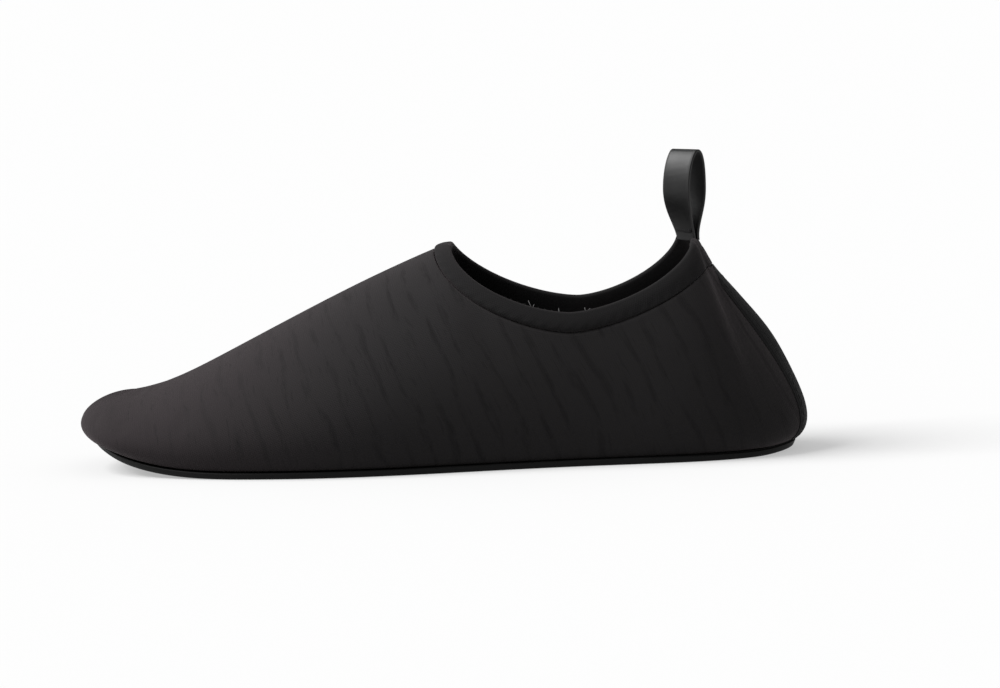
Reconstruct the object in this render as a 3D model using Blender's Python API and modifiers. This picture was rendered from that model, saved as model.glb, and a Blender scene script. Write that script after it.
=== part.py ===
"""Left water shoe: a stretch knit upper on a thin rubber sole, with a folded
collar band, a tape over the back seam and a webbing loop at the heel.

The toe points along -X, the outer side of the foot is -Y and +Z is up. The
upper follows one surface, the last, which is made of columns that rise from
the sole's edge to the ridge along the top of the foot and fan out round the
toe and the heel. Every piece is placed from that surface.
"""
import math
from collections import namedtuple

import bmesh
import bpy
import numpy as np
from mathutils import Vector

# Overall sizes of the shoe, in metres
SHOE_LENGTH = 0.261
BALL_WIDTH = 0.098
INSTEP_HEIGHT = 0.078
HEEL_HEIGHT = 0.0768
TOE_SPRING = 0.0089
HEEL_LIFT = 0.0008
ARCH_RISE = 0.0030

# Thicknesses and clearances
WALL = 0.0016
GAP = 0.0003
SOLE_THICKNESS = 0.0024
SOLE_LIP = 0.0012
SOLE_EDGE_TAPER = 0.0012
INSOLE_THICKNESS = 0.0025
INSOLE_PLAY = 0.0009

# Mouth of the shoe, seen from the side as the lower half of a long oval
MOUTH_DEPTH = 0.0232
MOUTH_ROUNDNESS = 1.6
MOUTH_SKEW = 0.0064
BAND_WIDTH = 0.0068
BAND_WIDTH_BACK = 0.0118
BAND_PROUD = 0.0007
BAND_INNER = 0.0017

# Tape over the back seam
TAPE_WIDTH = 0.018
TAPE_THICKNESS = 0.0007
TAPE_CLEARANCE = 0.0008

# Webbing loop
LOOP_HEIGHT = 0.0310
LOOP_CROWN = 0.0135
LOOP_OPENING = 0.0074
LOOP_WIDTH = 0.0120
LOOP_BASE_WIDTH = 0.0105
LOOP_BOW = 0.0016
LOOP_INSET = 0.0016
LOOP_BASE_GAP = 0.0006
LOOP_THICKNESS = 0.0010
LOOP_SEAT_GAP = 0.0006

# Webbing loop: place past the heel back, share of the webbing in one leg, and
# turn in degrees about the upright at the base and at the top
LOOP_PLACE = 1.2
LOOP_LEG_SHARE = 0.27
LOOP_BASE_TURN = -52.0
LOOP_TOP_TURN = -38.0

# Cross grooves in the tread
GROOVE_DEPTH = 0.0010
GROOVE_WIDTH = 0.0024
GROOVE_PITCH = 0.0085
GROOVE_MARGIN = 0.0070
GROOVE_SLOPE_REACH = 0.0026

# Stations along the shoe, as shares of its length counted from the toe
MOUTH_FRONT = 0.524
MOUTH_BACK = 0.858
SPRING_START = 0.25
SPRING_END = 0.023
HEEL_LIFT_START = 0.93
HEEL_LIFT_END = 0.975
ARCH_START = 0.40
ARCH_END = 0.74
FOREFOOT_GROOVES = (0.17, 0.43)
HEEL_GROOVES = (0.74, 0.92)
SPINE_FRONT = 0.12
SPINE_BACK = 0.88

# Shares: of the band's spread taken off the heel's top, of half the ball width
# over which the arch rises, of the column where the tape begins, and the highest
# share of a column that a piece laid on it may reach
HEEL_TOP_SHARE = 0.80
ARCH_REACH = 0.55
TAPE_START = 0.05
COLUMN_LIMIT = 0.999

# Counts of the mesh
UPPER_COLUMNS = 44
UPPER_ROWS = 13
BAND_STATIONS = 44
SOLE_COLUMNS = 72
SOLE_RINGS = 3
TAPE_ROWS = 14
TAPE_STEPS = 4
SETTLE_ROUNDS = 4
LOOP_STEPS = 36
OUTLINE_SAMPLES = 180
EDGE_SAMPLES = 160
SPREAD_SAMPLES = 200
SEAT_SAMPLES = 61
HALVINGS = 30

# Spacing of the mesh: how far the upper's rows crowd towards the top, how the
# band's stations crowd towards the front, and the small steps, counted in places
# and rises, that slopes are taken over
ROW_LAG = 0.35
FRONT_CROWDING = 1.25
SLOPE_STEP = 0.004
RIDGE_END = 0.02
WELD = 0.000001
SPINE_WELD = 0.00005
SHELL_WELD = 0.00001

# The ridge: station as a share of the length, rise as a share of the instep
# height, side as a share of half the ball width, and the angle in degrees by
# which the column leans forward out of the cross section
Ridge = namedtuple("Ridge", "name station rise side lean")
RIDGE = [
    Ridge("nose",         0.076, 0.358, 0.125, 90),
    Ridge("toe corner",   0.085, 0.363, 0.130, 50),
    Ridge("toe",          0.135, 0.410, 0.130, 16),
    Ridge("toe box",      0.222, 0.545, 0.120, 4),
    Ridge("ball",         0.310, 0.690, 0.100, 0),
    Ridge("waist",        0.400, 0.832, 0.080, 0),
    Ridge("instep",       0.492, 0.962, 0.060, 0),
    Ridge("mouth front",  0.575, 1.055, 0.050, 0),
    Ridge("mouth low",    0.665, 1.115, 0.040, 0),
    Ridge("ankle",        0.745, 1.140, 0.030, -6),
    Ridge("heel",         0.806, 1.130, 0.010, -24),
    Ridge("heel corner",  0.830, 1.115, 0.000, -55),
    Ridge("heel back",    0.853, 1.004, 0.000, -90),
]

# The foot line and the walls above it: station as a share of the length, half
# width, bulge outward and reach of the shoulder as shares of half the ball
# width, and bulge upward as a share of the instep height
Wall = namedtuple("Wall", "station half_width bulge_out bulge_up reach")
OUTER_SIDE = [
    Wall(0.016, -0.125, 0.25, 0.045, 0.31),
    Wall(0.049,  0.330, 0.35, 0.055, 0.35),
    Wall(0.105,  0.590, 0.31, 0.130, 0.34),
    Wall(0.196,  0.780, 0.30, 0.190, 0.47),
    Wall(0.305,  0.885, 0.30, 0.225, 0.56),
    Wall(0.405,  0.885, 0.27, 0.270, 0.55),
    Wall(0.505,  0.812, 0.23, 0.330, 0.52),
    Wall(0.602,  0.720, 0.21, 0.360, 0.54),
    Wall(0.698,  0.650, 0.20, 0.370, 0.57),
    Wall(0.790,  0.615, 0.22, 0.350, 0.54),
    Wall(0.875,  0.555, 0.30, 0.300, 0.44),
    Wall(0.946,  0.370, 0.346, 0.078, 0.32),
    Wall(0.984,  0.000, 0.409, 0.108, 0.41),
]
INNER_SIDE = [
    Wall(0.016,  0.125, 0.25, 0.045, 0.31),
    Wall(0.047,  0.520, 0.35, 0.055, 0.35),
    Wall(0.100,  0.720, 0.31, 0.130, 0.34),
    Wall(0.196,  0.835, 0.30, 0.190, 0.45),
    Wall(0.305,  0.850, 0.30, 0.240, 0.51),
    Wall(0.405,  0.760, 0.27, 0.300, 0.51),
    Wall(0.505,  0.660, 0.23, 0.350, 0.52),
    Wall(0.602,  0.600, 0.21, 0.360, 0.54),
    Wall(0.698,  0.575, 0.20, 0.370, 0.57),
    Wall(0.790,  0.570, 0.22, 0.350, 0.54),
    Wall(0.875,  0.520, 0.30, 0.300, 0.44),
    Wall(0.946,  0.350, 0.346, 0.078, 0.32),
    Wall(0.984,  0.000, 0.409, 0.108, 0.41),
]
LAST_ROW = len(RIDGE) - 1
FULL_TURN = 2 * LAST_ROW
HALF_BALL = BALL_WIDTH / 2
FRONT_LIMIT = 2 * LAST_ROW / 3
BACK_REACH = 2.5
SEAT_REACH = 1.5

# Section of the band: share of its width and offset from the last, over its outer
# face from the lower seam; its fold and its inner face follow in the function
BAND_FACE = [(0.0, -BAND_INNER), (0.0, 0.4 * BAND_PROUD), (0.12, BAND_PROUD), (0.5, BAND_PROUD)]
BAND_BACK = (0.5, -BAND_INNER)
FOLD_ANGLES = (90, 45, 0, -45, -90)

# Colour, roughness and metallic value of each piece
LOOKS = {
    "outsole": ((0.014, 0.014, 0.015), 0.70, 0.0),
    "insole": ((0.020, 0.020, 0.021), 0.95, 0.0),
    "upper": ((0.040, 0.035, 0.037), 0.92, 0.0),
    "collar_band": ((0.024, 0.023, 0.024), 0.90, 0.0),
    "heel_seam": ((0.026, 0.025, 0.026), 0.75, 0.0),
    "pull_loop": ((0.030, 0.029, 0.030), 0.55, 0.0),
}


def closed_spline(values):
    """Smooth closed curve through evenly spaced values, as value and slope."""
    values = np.asarray(values, float)
    count = len(values)
    system = 4 * np.eye(count)
    system += np.roll(np.eye(count), 1, axis=0) + np.roll(np.eye(count), -1, axis=0)
    slopes = np.linalg.solve(system, 3 * (np.roll(values, -1) - np.roll(values, 1)))

    def at(place):
        low = math.floor(place)
        part = place - low
        here, after = low % count, (low + 1) % count
        start, end = values[here], values[after]
        leave, arrive = slopes[here], slopes[after]
        turn = 3 * (end - start) - 2 * leave - arrive
        close = 2 * (start - end) + leave + arrive
        value = start + part * (leave + part * (turn + part * close))
        return value, leave + part * (2 * turn + 3 * part * close)

    return at


def both_sides(outer, inner):
    """Values from the nose along the outer side to the heel and back along the inner side."""
    return list(outer) + list(inner[-2:0:-1])


def smooth_step(share):
    """Soft step from 0 to 1."""
    share = min(max(share, 0.0), 1.0)
    return share * share * (3 - 2 * share)


def unit(vector):
    """Vector of length one along the given one."""
    return vector / np.linalg.norm(vector)


def wall_curve(column_name):
    """Curve round the shoe of one column of the side tables."""
    return closed_spline(both_sides([getattr(wall, column_name) for wall in OUTER_SIDE],
                                    [getattr(wall, column_name) for wall in INNER_SIDE]))


def ridge_curve(values):
    """Curve round the shoe of values along the ridge, the same on both sides."""
    return closed_spline(both_sides(values, values))


LEANS = [math.radians(row.lean) for row in RIDGE]
SPLINES = {
    "ridge_x": ridge_curve([row.station for row in RIDGE]),
    "ridge_y": ridge_curve([row.side for row in RIDGE]),
    "ridge_z": ridge_curve([row.rise for row in RIDGE]),
    "ahead": ridge_curve([math.sin(lean) for lean in LEANS]),
    "aside": closed_spline(both_sides([-math.cos(lean) for lean in LEANS],
                                      [math.cos(lean) for lean in LEANS])),
    "foot_x": wall_curve("station"),
    "foot_y": closed_spline(both_sides([-wall.half_width for wall in OUTER_SIDE],
                                       [wall.half_width for wall in INNER_SIDE])),
    "bulge_out": wall_curve("bulge_out"),
    "bulge_up": wall_curve("bulge_up"),
    "reach": wall_curve("reach"),
}


def underside(x, y):
    """Height of the sole's underside: toe spring, heel lift and the arch on the inner side."""
    station = x / SHOE_LENGTH
    toe = max((SPRING_START - station) / (SPRING_START - SPRING_END), 0.0)
    heel = max((station - HEEL_LIFT_START) / (HEEL_LIFT_END - HEEL_LIFT_START), 0.0)
    along = (station - ARCH_START) / (ARCH_END - ARCH_START)
    arch = math.sin(math.pi * min(max(along, 0.0), 1.0)) ** 2
    arch *= smooth_step(y / (ARCH_REACH * HALF_BALL))
    return TOE_SPRING * toe ** 3 + HEEL_LIFT * heel ** 2 + ARCH_RISE * arch


def foot_point(place):
    """Point of the foot line at the height of the underside, and the outward direction there."""
    x, along_x = SPLINES["foot_x"](place)
    y, along_y = SPLINES["foot_y"](place)
    outward = unit(np.array([along_y * HALF_BALL, -along_x * SHOE_LENGTH, 0.0]))
    x, y = x * SHOE_LENGTH, y * HALF_BALL
    return np.array([x, y, underside(x, y)]), outward


def ridge_point(place):
    """Point of the ridge."""
    return np.array([SPLINES["ridge_x"](place)[0] * SHOE_LENGTH,
                     SPLINES["ridge_y"](place)[0] * HALF_BALL,
                     SPLINES["ridge_z"](place)[0] * INSTEP_HEIGHT])


def ridge_run(place):
    """Direction of the ridge towards the heel, in the upright plane."""
    folded = place if place <= LAST_ROW else FULL_TURN - place
    folded = min(max(folded, RIDGE_END), LAST_ROW - RIDGE_END)
    rise = SPLINES["ridge_z"](folded)[1] * INSTEP_HEIGHT
    run = SPLINES["ridge_x"](folded)[1] * SHOE_LENGTH
    return unit(np.array([run, 0.0, rise]))


def column(place):
    """Four control points of the column at a place round the shoe."""
    place = place % FULL_TURN
    foot, outward = foot_point(place)
    foot = foot + np.array([0.0, 0.0, SOLE_THICKNESS + GAP])
    belly = foot + outward * SPLINES["bulge_out"](place)[0] * HALF_BALL
    belly = belly + np.array([0.0, 0.0, SPLINES["bulge_up"](place)[0] * INSTEP_HEIGHT])
    ridge = ridge_point(place)
    aside, ahead = SPLINES["aside"](place)[0], SPLINES["ahead"](place)[0]
    lead = unit(np.array([0.0, aside, 0.0]) - ridge_run(place) * ahead)
    shoulder = ridge + lead * SPLINES["reach"](place)[0] * HALF_BALL
    return foot, belly, shoulder, ridge


def on_column(points, rise):
    """Point of a column at a share of its run from the foot line to the ridge."""
    fall = 1 - rise
    return (fall ** 3 * points[0] + 3 * fall * fall * rise * points[1]
            + 3 * fall * rise * rise * points[2] + rise ** 3 * points[3])


def on_last(place, rise, offset=0.0):
    """Point of the last's surface, moved outward by an offset."""
    point = on_column(column(place), rise)
    if offset == 0.0:
        return point
    ahead, behind = column(place + SLOPE_STEP), column(place - SLOPE_STEP)
    along = on_column(ahead, rise) - on_column(behind, rise)
    here = column(place)
    up = on_column(here, rise + SLOPE_STEP) - on_column(here, rise - SLOPE_STEP)
    return point + unit(np.cross(along, up)) * offset


def mouth_level(point, place, spread, spread_back):
    """Below zero inside the mouth's side view, widened by a spread; zero on its edge."""
    front, back = MOUTH_FRONT * SHOE_LENGTH, MOUTH_BACK * SHOE_LENGTH
    middle = (front + back) / 2
    skew = MOUTH_SKEW * smooth_step((place % FULL_TURN - LAST_ROW) / 2)
    reach = middle - front + spread if point[0] < middle else back - middle - skew + spread_back
    across = (abs(point[0] - middle) / reach) ** MOUTH_ROUNDNESS
    below = max(INSTEP_HEIGHT - point[2], 0.0) / (MOUTH_DEPTH + spread)
    level = across + below ** MOUTH_ROUNDNESS - 1
    if point[0] < middle:
        return level
    top = (HEEL_HEIGHT - spread_back * HEEL_TOP_SHARE - point[2]) / MOUTH_DEPTH
    return min(level, top)


def edge_rise(place, spread, spread_back):
    """Share of a column's run at which the widened mouth cuts it, 1 if it doesn't."""
    points = column(place)
    if mouth_level(points[3], place, spread, spread_back) >= 0:
        return 1.0
    low, high = 0.0, 1.0
    for _ in range(HALVINGS):
        middle = (low + high) / 2
        if mouth_level(on_column(points, middle), place, spread, spread_back) < 0:
            high = middle
        else:
            low = middle
    return (low + high) / 2


def first_cut(spread, spread_back):
    """Place on the ridge where the widened mouth begins."""
    low, high = 0.0, FRONT_LIMIT
    for _ in range(HALVINGS):
        middle = (low + high) / 2
        if mouth_level(ridge_point(middle), middle, spread, spread_back) < 0:
            high = middle
        else:
            low = middle
    return high


def edge_stations(spread, spread_back, count, inner):
    """Evenly spaced places and rises along one side of the mouth's edge, front to back."""
    start = first_cut(spread, spread_back)
    places, points = [], []
    for index in range(EDGE_SAMPLES + 1):
        folded = start + (LAST_ROW - start) * (index / EDGE_SAMPLES) ** 2
        place = FULL_TURN - folded if inner else folded
        places.append(place)
        points.append(on_last(place, edge_rise(place, spread, spread_back)))
    steps = np.linalg.norm(np.diff(points, axis=0), axis=1)
    travel = np.concatenate([[0.0], np.cumsum(steps)])
    shares = np.linspace(0, 1, count + 1) ** FRONT_CROWDING
    chosen = np.interp(shares * travel[-1], travel, places)
    return [(place, edge_rise(place, spread, spread_back)) for place in chosen]


def grid_faces(columns, rows, closed_columns=False, closed_rows=False):
    """Quads of a grid whose vertices are stored column by column."""
    faces = []
    for column_index in range(columns if closed_columns else columns - 1):
        after = (column_index + 1) % columns
        for row in range(rows if closed_rows else rows - 1):
            above = (row + 1) % rows
            faces.append((column_index * rows + row, after * rows + row,
                          after * rows + above, column_index * rows + above))
    return faces


def add_piece(name, vertices, faces, collection):
    """Object from a loft, with doubled points welded and faces turned outward."""
    mesh = bpy.data.meshes.new(name)
    mesh.from_pydata([tuple(v) for v in vertices], [], faces)
    shell = bmesh.new()
    shell.from_mesh(mesh)
    bmesh.ops.remove_doubles(shell, verts=shell.verts, dist=WELD)
    bmesh.ops.dissolve_degenerate(shell, edges=shell.edges, dist=WELD)
    bmesh.ops.recalc_face_normals(shell, faces=shell.faces)
    shell.to_mesh(mesh)
    shell.free()
    mesh.shade_smooth()
    mesh.set_sharp_from_angle(angle=math.radians(50))
    piece = bpy.data.objects.new(name, mesh)
    collection.objects.link(piece)
    mesh.materials.append(make_material(name))
    return piece


def make_material(name):
    """Plain material with the piece's colour, roughness and metallic value."""
    colour, roughness, metallic = LOOKS[name]
    material = bpy.data.materials.new(name)
    material.use_nodes = True
    shader = material.node_tree.nodes["Principled BSDF"]
    shader.inputs["Base Color"].default_value = (*colour, 1.0)
    shader.inputs["Roughness"].default_value = roughness
    shader.inputs["Metallic"].default_value = metallic
    return material


def spread_columns(seam_spread, seam_back, count):
    """Places of the upper's columns, evenly spread along its top edge and its foot line."""
    corner = first_cut(seam_spread, seam_back)
    folded = np.linspace(0, LAST_ROW, SPREAD_SAMPLES + 1)
    travel = np.zeros(SPREAD_SAMPLES + 1)
    for inner in (False, True):
        places = FULL_TURN - folded if inner else folded
        tops = [on_last(p, edge_rise(p, seam_spread, seam_back)) for p in places]
        feet = [on_last(p, 0.0) for p in places]
        for line in (tops, feet):
            travel[1:] += np.cumsum(np.linalg.norm(np.diff(line, axis=0), axis=1))
    at_corner = np.interp(corner, folded, travel)
    before = round(count * at_corner / travel[-1])
    ahead = np.linspace(0, at_corner, before + 1)
    behind = np.linspace(at_corner, travel[-1], count - before + 1)
    places = np.interp(np.concatenate([ahead, behind[1:]]), travel, folded)
    places[before] = corner
    return list(places)


def make_upper(collection):
    """Hollow shell of one wall, open at the mouth and underneath."""
    spread, spread_back = BAND_WIDTH + GAP, BAND_WIDTH_BACK + GAP
    folded = spread_columns(spread, spread_back, UPPER_COLUMNS)
    places = folded + [FULL_TURN - place for place in folded[-2:0:-1]]
    vertices = []
    for place in places:
        points = column(place)
        top = edge_rise(place, spread, spread_back)
        lag = min(1 - top, ROW_LAG * top)
        for row in range(UPPER_ROWS + 1):
            share = row / UPPER_ROWS
            vertices.append(on_column(points, top * share + lag * (share - share ** 3)))
    faces = grid_faces(len(places), UPPER_ROWS + 1, closed_columns=True)
    upper = add_piece("upper", vertices, faces, collection)
    solidify = upper.modifiers.new("wall", "SOLIDIFY")
    solidify.thickness = WALL
    solidify.offset = -1
    return upper


def make_collar_band(collection):
    """Folded band round the mouth, standing slightly proud of the upper."""
    stations = []
    for inner in (False, True):
        rim = edge_stations(0.0, 0.0, BAND_STATIONS, inner)
        seam = edge_stations(BAND_WIDTH, BAND_WIDTH_BACK, BAND_STATIONS, inner)
        pairs = list(zip(seam, rim))
        stations += pairs if not inner else pairs[-2:0:-1]
    thickness = BAND_PROUD + BAND_INNER
    fold = 0.5 * thickness / BAND_WIDTH
    middle = (BAND_PROUD - BAND_INNER) / 2
    section = list(BAND_FACE)
    for angle in FOLD_ANGLES:
        turn = math.radians(angle)
        section.append((1 - fold + fold * math.cos(turn), middle + thickness / 2 * math.sin(turn)))
    section.append(BAND_BACK)
    vertices = []
    for (seam_place, seam_rise), (rim_place, rim_rise) in stations:
        for share, offset in section:
            place = seam_place + (rim_place - seam_place) * share
            rise = seam_rise + (rim_rise - seam_rise) * share
            vertices.append(on_last(place, min(rise, COLUMN_LIMIT), offset))
    faces = grid_faces(len(stations), len(section), closed_columns=True, closed_rows=True)
    return add_piece("collar_band", vertices, faces, collection)


def sheet_columns(edge_insets):
    """Plan points of a sheet, column by column: its edge rings, then rings to the spine."""
    columns = []
    for index in range(SOLE_COLUMNS):
        place = FULL_TURN * index / SOLE_COLUMNS
        foot, outward = foot_point(place)
        spine = ridge_point(place)
        spine_x = min(max(spine[0], SPINE_FRONT * SHOE_LENGTH), SPINE_BACK * SHOE_LENGTH)
        centre = np.array([spine_x, spine[1], 0.0])
        inside = foot - outward * (WALL + INSOLE_PLAY)
        rings = [foot - outward * inset for inset in edge_insets]
        rings += [inside + (centre - inside) * ring / SOLE_RINGS for ring in range(SOLE_RINGS + 1)]
        columns.append(rings)
    return columns


def sheet_loft(upper_insets, lower_insets, low, high):
    """Vertices and faces of a sheet between two heights above the underside."""
    vertices = []
    for above, below in zip(sheet_columns(upper_insets), sheet_columns(lower_insets)):
        for point in above[::-1]:
            vertices.append((point[0], point[1], underside(point[0], point[1]) + high))
        for point in below:
            vertices.append((point[0], point[1], underside(point[0], point[1]) + low))
    rows = 2 * (SOLE_RINGS + 1) + len(upper_insets) + len(lower_insets)
    return vertices, grid_faces(SOLE_COLUMNS, rows, closed_columns=True)


def close_spine(piece):
    """Close the slit that the two halves of a sheet leave along the spine."""
    shell = bmesh.new()
    shell.from_mesh(piece.data)
    bmesh.ops.remove_doubles(shell, verts=shell.verts, dist=SPINE_WELD)
    bmesh.ops.dissolve_degenerate(shell, edges=shell.edges, dist=SHELL_WELD)
    bmesh.ops.recalc_face_normals(shell, faces=shell.faces)
    shell.to_mesh(piece.data)
    shell.free()


def add_groove(cutters, station, collection):
    """Bar that cuts one cross groove into the tread at a station."""
    x = station * SHOE_LENGTH
    reach = GROOVE_SLOPE_REACH
    slope = math.atan2(underside(x + reach, 0) - underside(x - reach, 0), 2 * reach)
    low = outline_side(x, 0)
    high = outline_side(x, LAST_ROW)
    bpy.ops.mesh.primitive_cube_add(size=1.0)
    bar = bpy.context.object
    bar.name = f"groove_{len(cutters):02d}"
    bar.dimensions = (GROOVE_WIDTH, high - low - 2 * GROOVE_MARGIN, 2 * GROOVE_DEPTH)
    bar.location = (x, (low + high) / 2, underside(x, 0))
    bar.rotation_euler = (0, -slope, 0)
    bar.hide_render = True
    bar.display_type = "WIRE"
    for owner in bar.users_collection:
        owner.objects.unlink(bar)
    collection.objects.link(bar)
    cutters.append(bar)


def outline_side(x, first_place):
    """Side value of the foot line nearest to a distance from the toe, on one side."""
    places = first_place + LAST_ROW * np.arange(OUTLINE_SAMPLES + 1) / OUTLINE_SAMPLES
    points = [foot_point(place)[0] for place in places]
    return min(points, key=lambda point: abs(point[0] - x))[1]


def make_outsole(collection, cutter_collection):
    """Thin rubber sole with toe spring, arch, an edge lip and cross grooves."""
    vertices, faces = sheet_loft([-SOLE_LIP], [SOLE_EDGE_TAPER - SOLE_LIP], 0.0, SOLE_THICKNESS)
    outsole = add_piece("outsole", vertices, faces, collection)
    close_spine(outsole)
    cutters = []
    for start, end in (FOREFOOT_GROOVES, HEEL_GROOVES):
        count = int((end - start) * SHOE_LENGTH / GROOVE_PITCH)
        for index in range(count + 1):
            add_groove(cutters, start + index * GROOVE_PITCH / SHOE_LENGTH, cutter_collection)
    for cutter in cutters:
        cut = outsole.modifiers.new(cutter.name, "BOOLEAN")
        cut.operation = "DIFFERENCE"
        cut.solver = "EXACT"
        cut.object = cutter
    return outsole


def make_insole(collection):
    """Foam sheet cut to the foot, lying on the sole inside the upper."""
    low = SOLE_THICKNESS + GAP
    vertices, faces = sheet_loft([], [], low, low + INSOLE_THICKNESS)
    insole = add_piece("insole", vertices, faces, collection)
    close_spine(insole)
    return insole


def back_place(side, rise):
    """Place near the heel back where the last stands a given distance aside at a rise."""
    low, high = 0.0, BACK_REACH
    direction = -1 if side < 0 else 1
    for _ in range(HALVINGS):
        middle = (low + high) / 2
        if abs(on_last(LAST_ROW + direction * middle, rise)[1]) < abs(side):
            low = middle
        else:
            high = middle
    return LAST_ROW + direction * (low + high) / 2


def make_heel_seam(collection):
    """Tape over the back seam, from the band down to the sole."""
    spread, spread_back = BAND_WIDTH + TAPE_CLEARANCE, BAND_WIDTH_BACK + TAPE_CLEARANCE
    sides = [TAPE_WIDTH * (step / TAPE_STEPS - 0.5) for step in range(TAPE_STEPS + 1)]
    section = [(side, GAP + TAPE_THICKNESS) for side in sides]
    section += [(side, GAP) for side in sides[::-1]]
    vertices = []
    for row in range(TAPE_ROWS + 1):
        share = TAPE_START + (1 - TAPE_START) * row / TAPE_ROWS
        for side, offset in section:
            place, rise = LAST_ROW, share
            for _ in range(SETTLE_ROUNDS):
                rise = share * edge_rise(place, spread, spread_back)
                place = back_place(side, rise)
            vertices.append(on_last(place, rise, offset))
    ring = 2 * (TAPE_STEPS + 1)
    faces = grid_faces(TAPE_ROWS + 1, ring, closed_rows=True)
    faces.append(tuple(range(ring)))
    faces.append(tuple(range(TAPE_ROWS * ring, (TAPE_ROWS + 1) * ring)))
    return add_piece("heel_seam", vertices, faces, collection)


def webbing_middle(share):
    """Middle of the webbing at a share of its length, sideways and up from the base."""
    half_gap = (LOOP_BASE_GAP + LOOP_THICKNESS) / 2
    half_open = (LOOP_OPENING + LOOP_THICKNESS) / 2
    straight = LOOP_HEIGHT - LOOP_CROWN - LOOP_THICKNESS / 2
    leg = min(share, 1 - share) / LOOP_LEG_SHARE
    if leg < 1:
        spread = half_gap + (half_open - half_gap) * smooth_step(leg)
        aside, up = spread if share > 0.5 else -spread, straight * leg
    else:
        angle = math.pi * (share - LOOP_LEG_SHARE) / (1 - 2 * LOOP_LEG_SHARE)
        aside, up = -half_open * math.cos(angle), straight + LOOP_CROWN * math.sin(angle)
    bow = LOOP_BOW * math.sin(math.pi * min(up / LOOP_HEIGHT, 1.0))
    return np.array([aside - bow, up])


def loop_seat():
    """Point on top of the band under the loop's base."""
    place = LAST_ROW + LOOP_PLACE
    reach = LOOP_BASE_WIDTH / 2
    rim = on_last(place, edge_rise(place, 0.0, 0.0))
    around = np.linspace(place - SEAT_REACH, place + SEAT_REACH, SEAT_SAMPLES)
    near = [on_last(spot, edge_rise(spot, 0.0, 0.0)) for spot in around]
    under = [point for point in near if np.linalg.norm(point - rim) < reach + BAND_INNER]
    return np.array([rim[0] - LOOP_INSET, rim[1], max(point[2] for point in under)])


def make_pull_loop(collection):
    """Webbing folded into a loop, standing on the band at the back of the mouth."""
    base = loop_seat() + np.array([0.0, 0.0, LOOP_SEAT_GAP])
    vertices = []
    for index in range(LOOP_STEPS + 1):
        share = index / LOOP_STEPS
        step = 0.5 / LOOP_STEPS
        middle = webbing_middle(share)
        ahead = unit(webbing_middle(min(share + step, 1.0)) - webbing_middle(max(share - step, 0.0)))
        widening = smooth_step(2 * middle[1] / LOOP_HEIGHT)
        half = (LOOP_BASE_WIDTH + (LOOP_WIDTH - LOOP_BASE_WIDTH) * widening) / 2
        turn = math.radians(LOOP_BASE_TURN + (LOOP_TOP_TURN - LOOP_BASE_TURN) * widening)
        along = np.array([math.cos(turn), math.sin(turn), 0.0])
        across = np.array([-along[1], along[0], 0.0])
        for side, face in ((-half, 1), (half, 1), (half, -1), (-half, -1)):
            aside = middle[0] - ahead[1] * face * LOOP_THICKNESS / 2
            up = middle[1] + ahead[0] * face * LOOP_THICKNESS / 2
            vertices.append(base + along * side + across * aside + np.array([0.0, 0.0, up]))
    faces = grid_faces(LOOP_STEPS + 1, 4, closed_rows=True)
    faces.append((0, 1, 2, 3))
    faces.append(tuple(LOOP_STEPS * 4 + corner for corner in range(4)))
    return add_piece("pull_loop", vertices, faces, collection)


def centre_on_origin(pieces, cutters):
    """Move everything so that the shoe stands on the origin by its middle."""
    bpy.context.view_layer.update()
    corners = [piece.matrix_world @ Vector(corner) for piece in pieces for corner in piece.bound_box]
    middle_x = (min(c.x for c in corners) + max(c.x for c in corners)) / 2
    middle_y = (min(c.y for c in corners) + max(c.y for c in corners)) / 2
    for piece in pieces + cutters:
        piece.location.x -= middle_x
        piece.location.y -= middle_y


def main():
    """Build every piece of the shoe."""
    for leftover in list(bpy.data.objects):
        bpy.data.objects.remove(leftover, do_unlink=True)
    shoe = bpy.data.collections.new("water_shoe")
    cutter_collection = bpy.data.collections.new("cutters")
    bpy.context.scene.collection.children.link(shoe)
    bpy.context.scene.collection.children.link(cutter_collection)
    pieces = [
        make_outsole(shoe, cutter_collection),
        make_insole(shoe),
        make_upper(shoe),
        make_collar_band(shoe),
        make_heel_seam(shoe),
        make_pull_loop(shoe),
    ]
    centre_on_origin(pieces, list(cutter_collection.objects))


main()
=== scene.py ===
"""Dressed scene of a left water shoe: a black stretch knit upper with faint tonal
stripes on a thin rubber sole, a folded collar band, a tape over the back seam and
a bare webbing loop at the heel, on a plain pale floor.

The toe points along -X, the outer side of the foot is -Y and +Z is up. Every
piece is placed on the last, the surface that the knit is stretched over. A place
runs round the last from 0 at the nose over 12 at the heel back to 24, and a rise
runs up a column of it from 0 at the sole to 1 on the ridge of the foot.
"""

import math
from collections import namedtuple

import bpy
import numpy as np
from mathutils import Matrix, Vector


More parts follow.
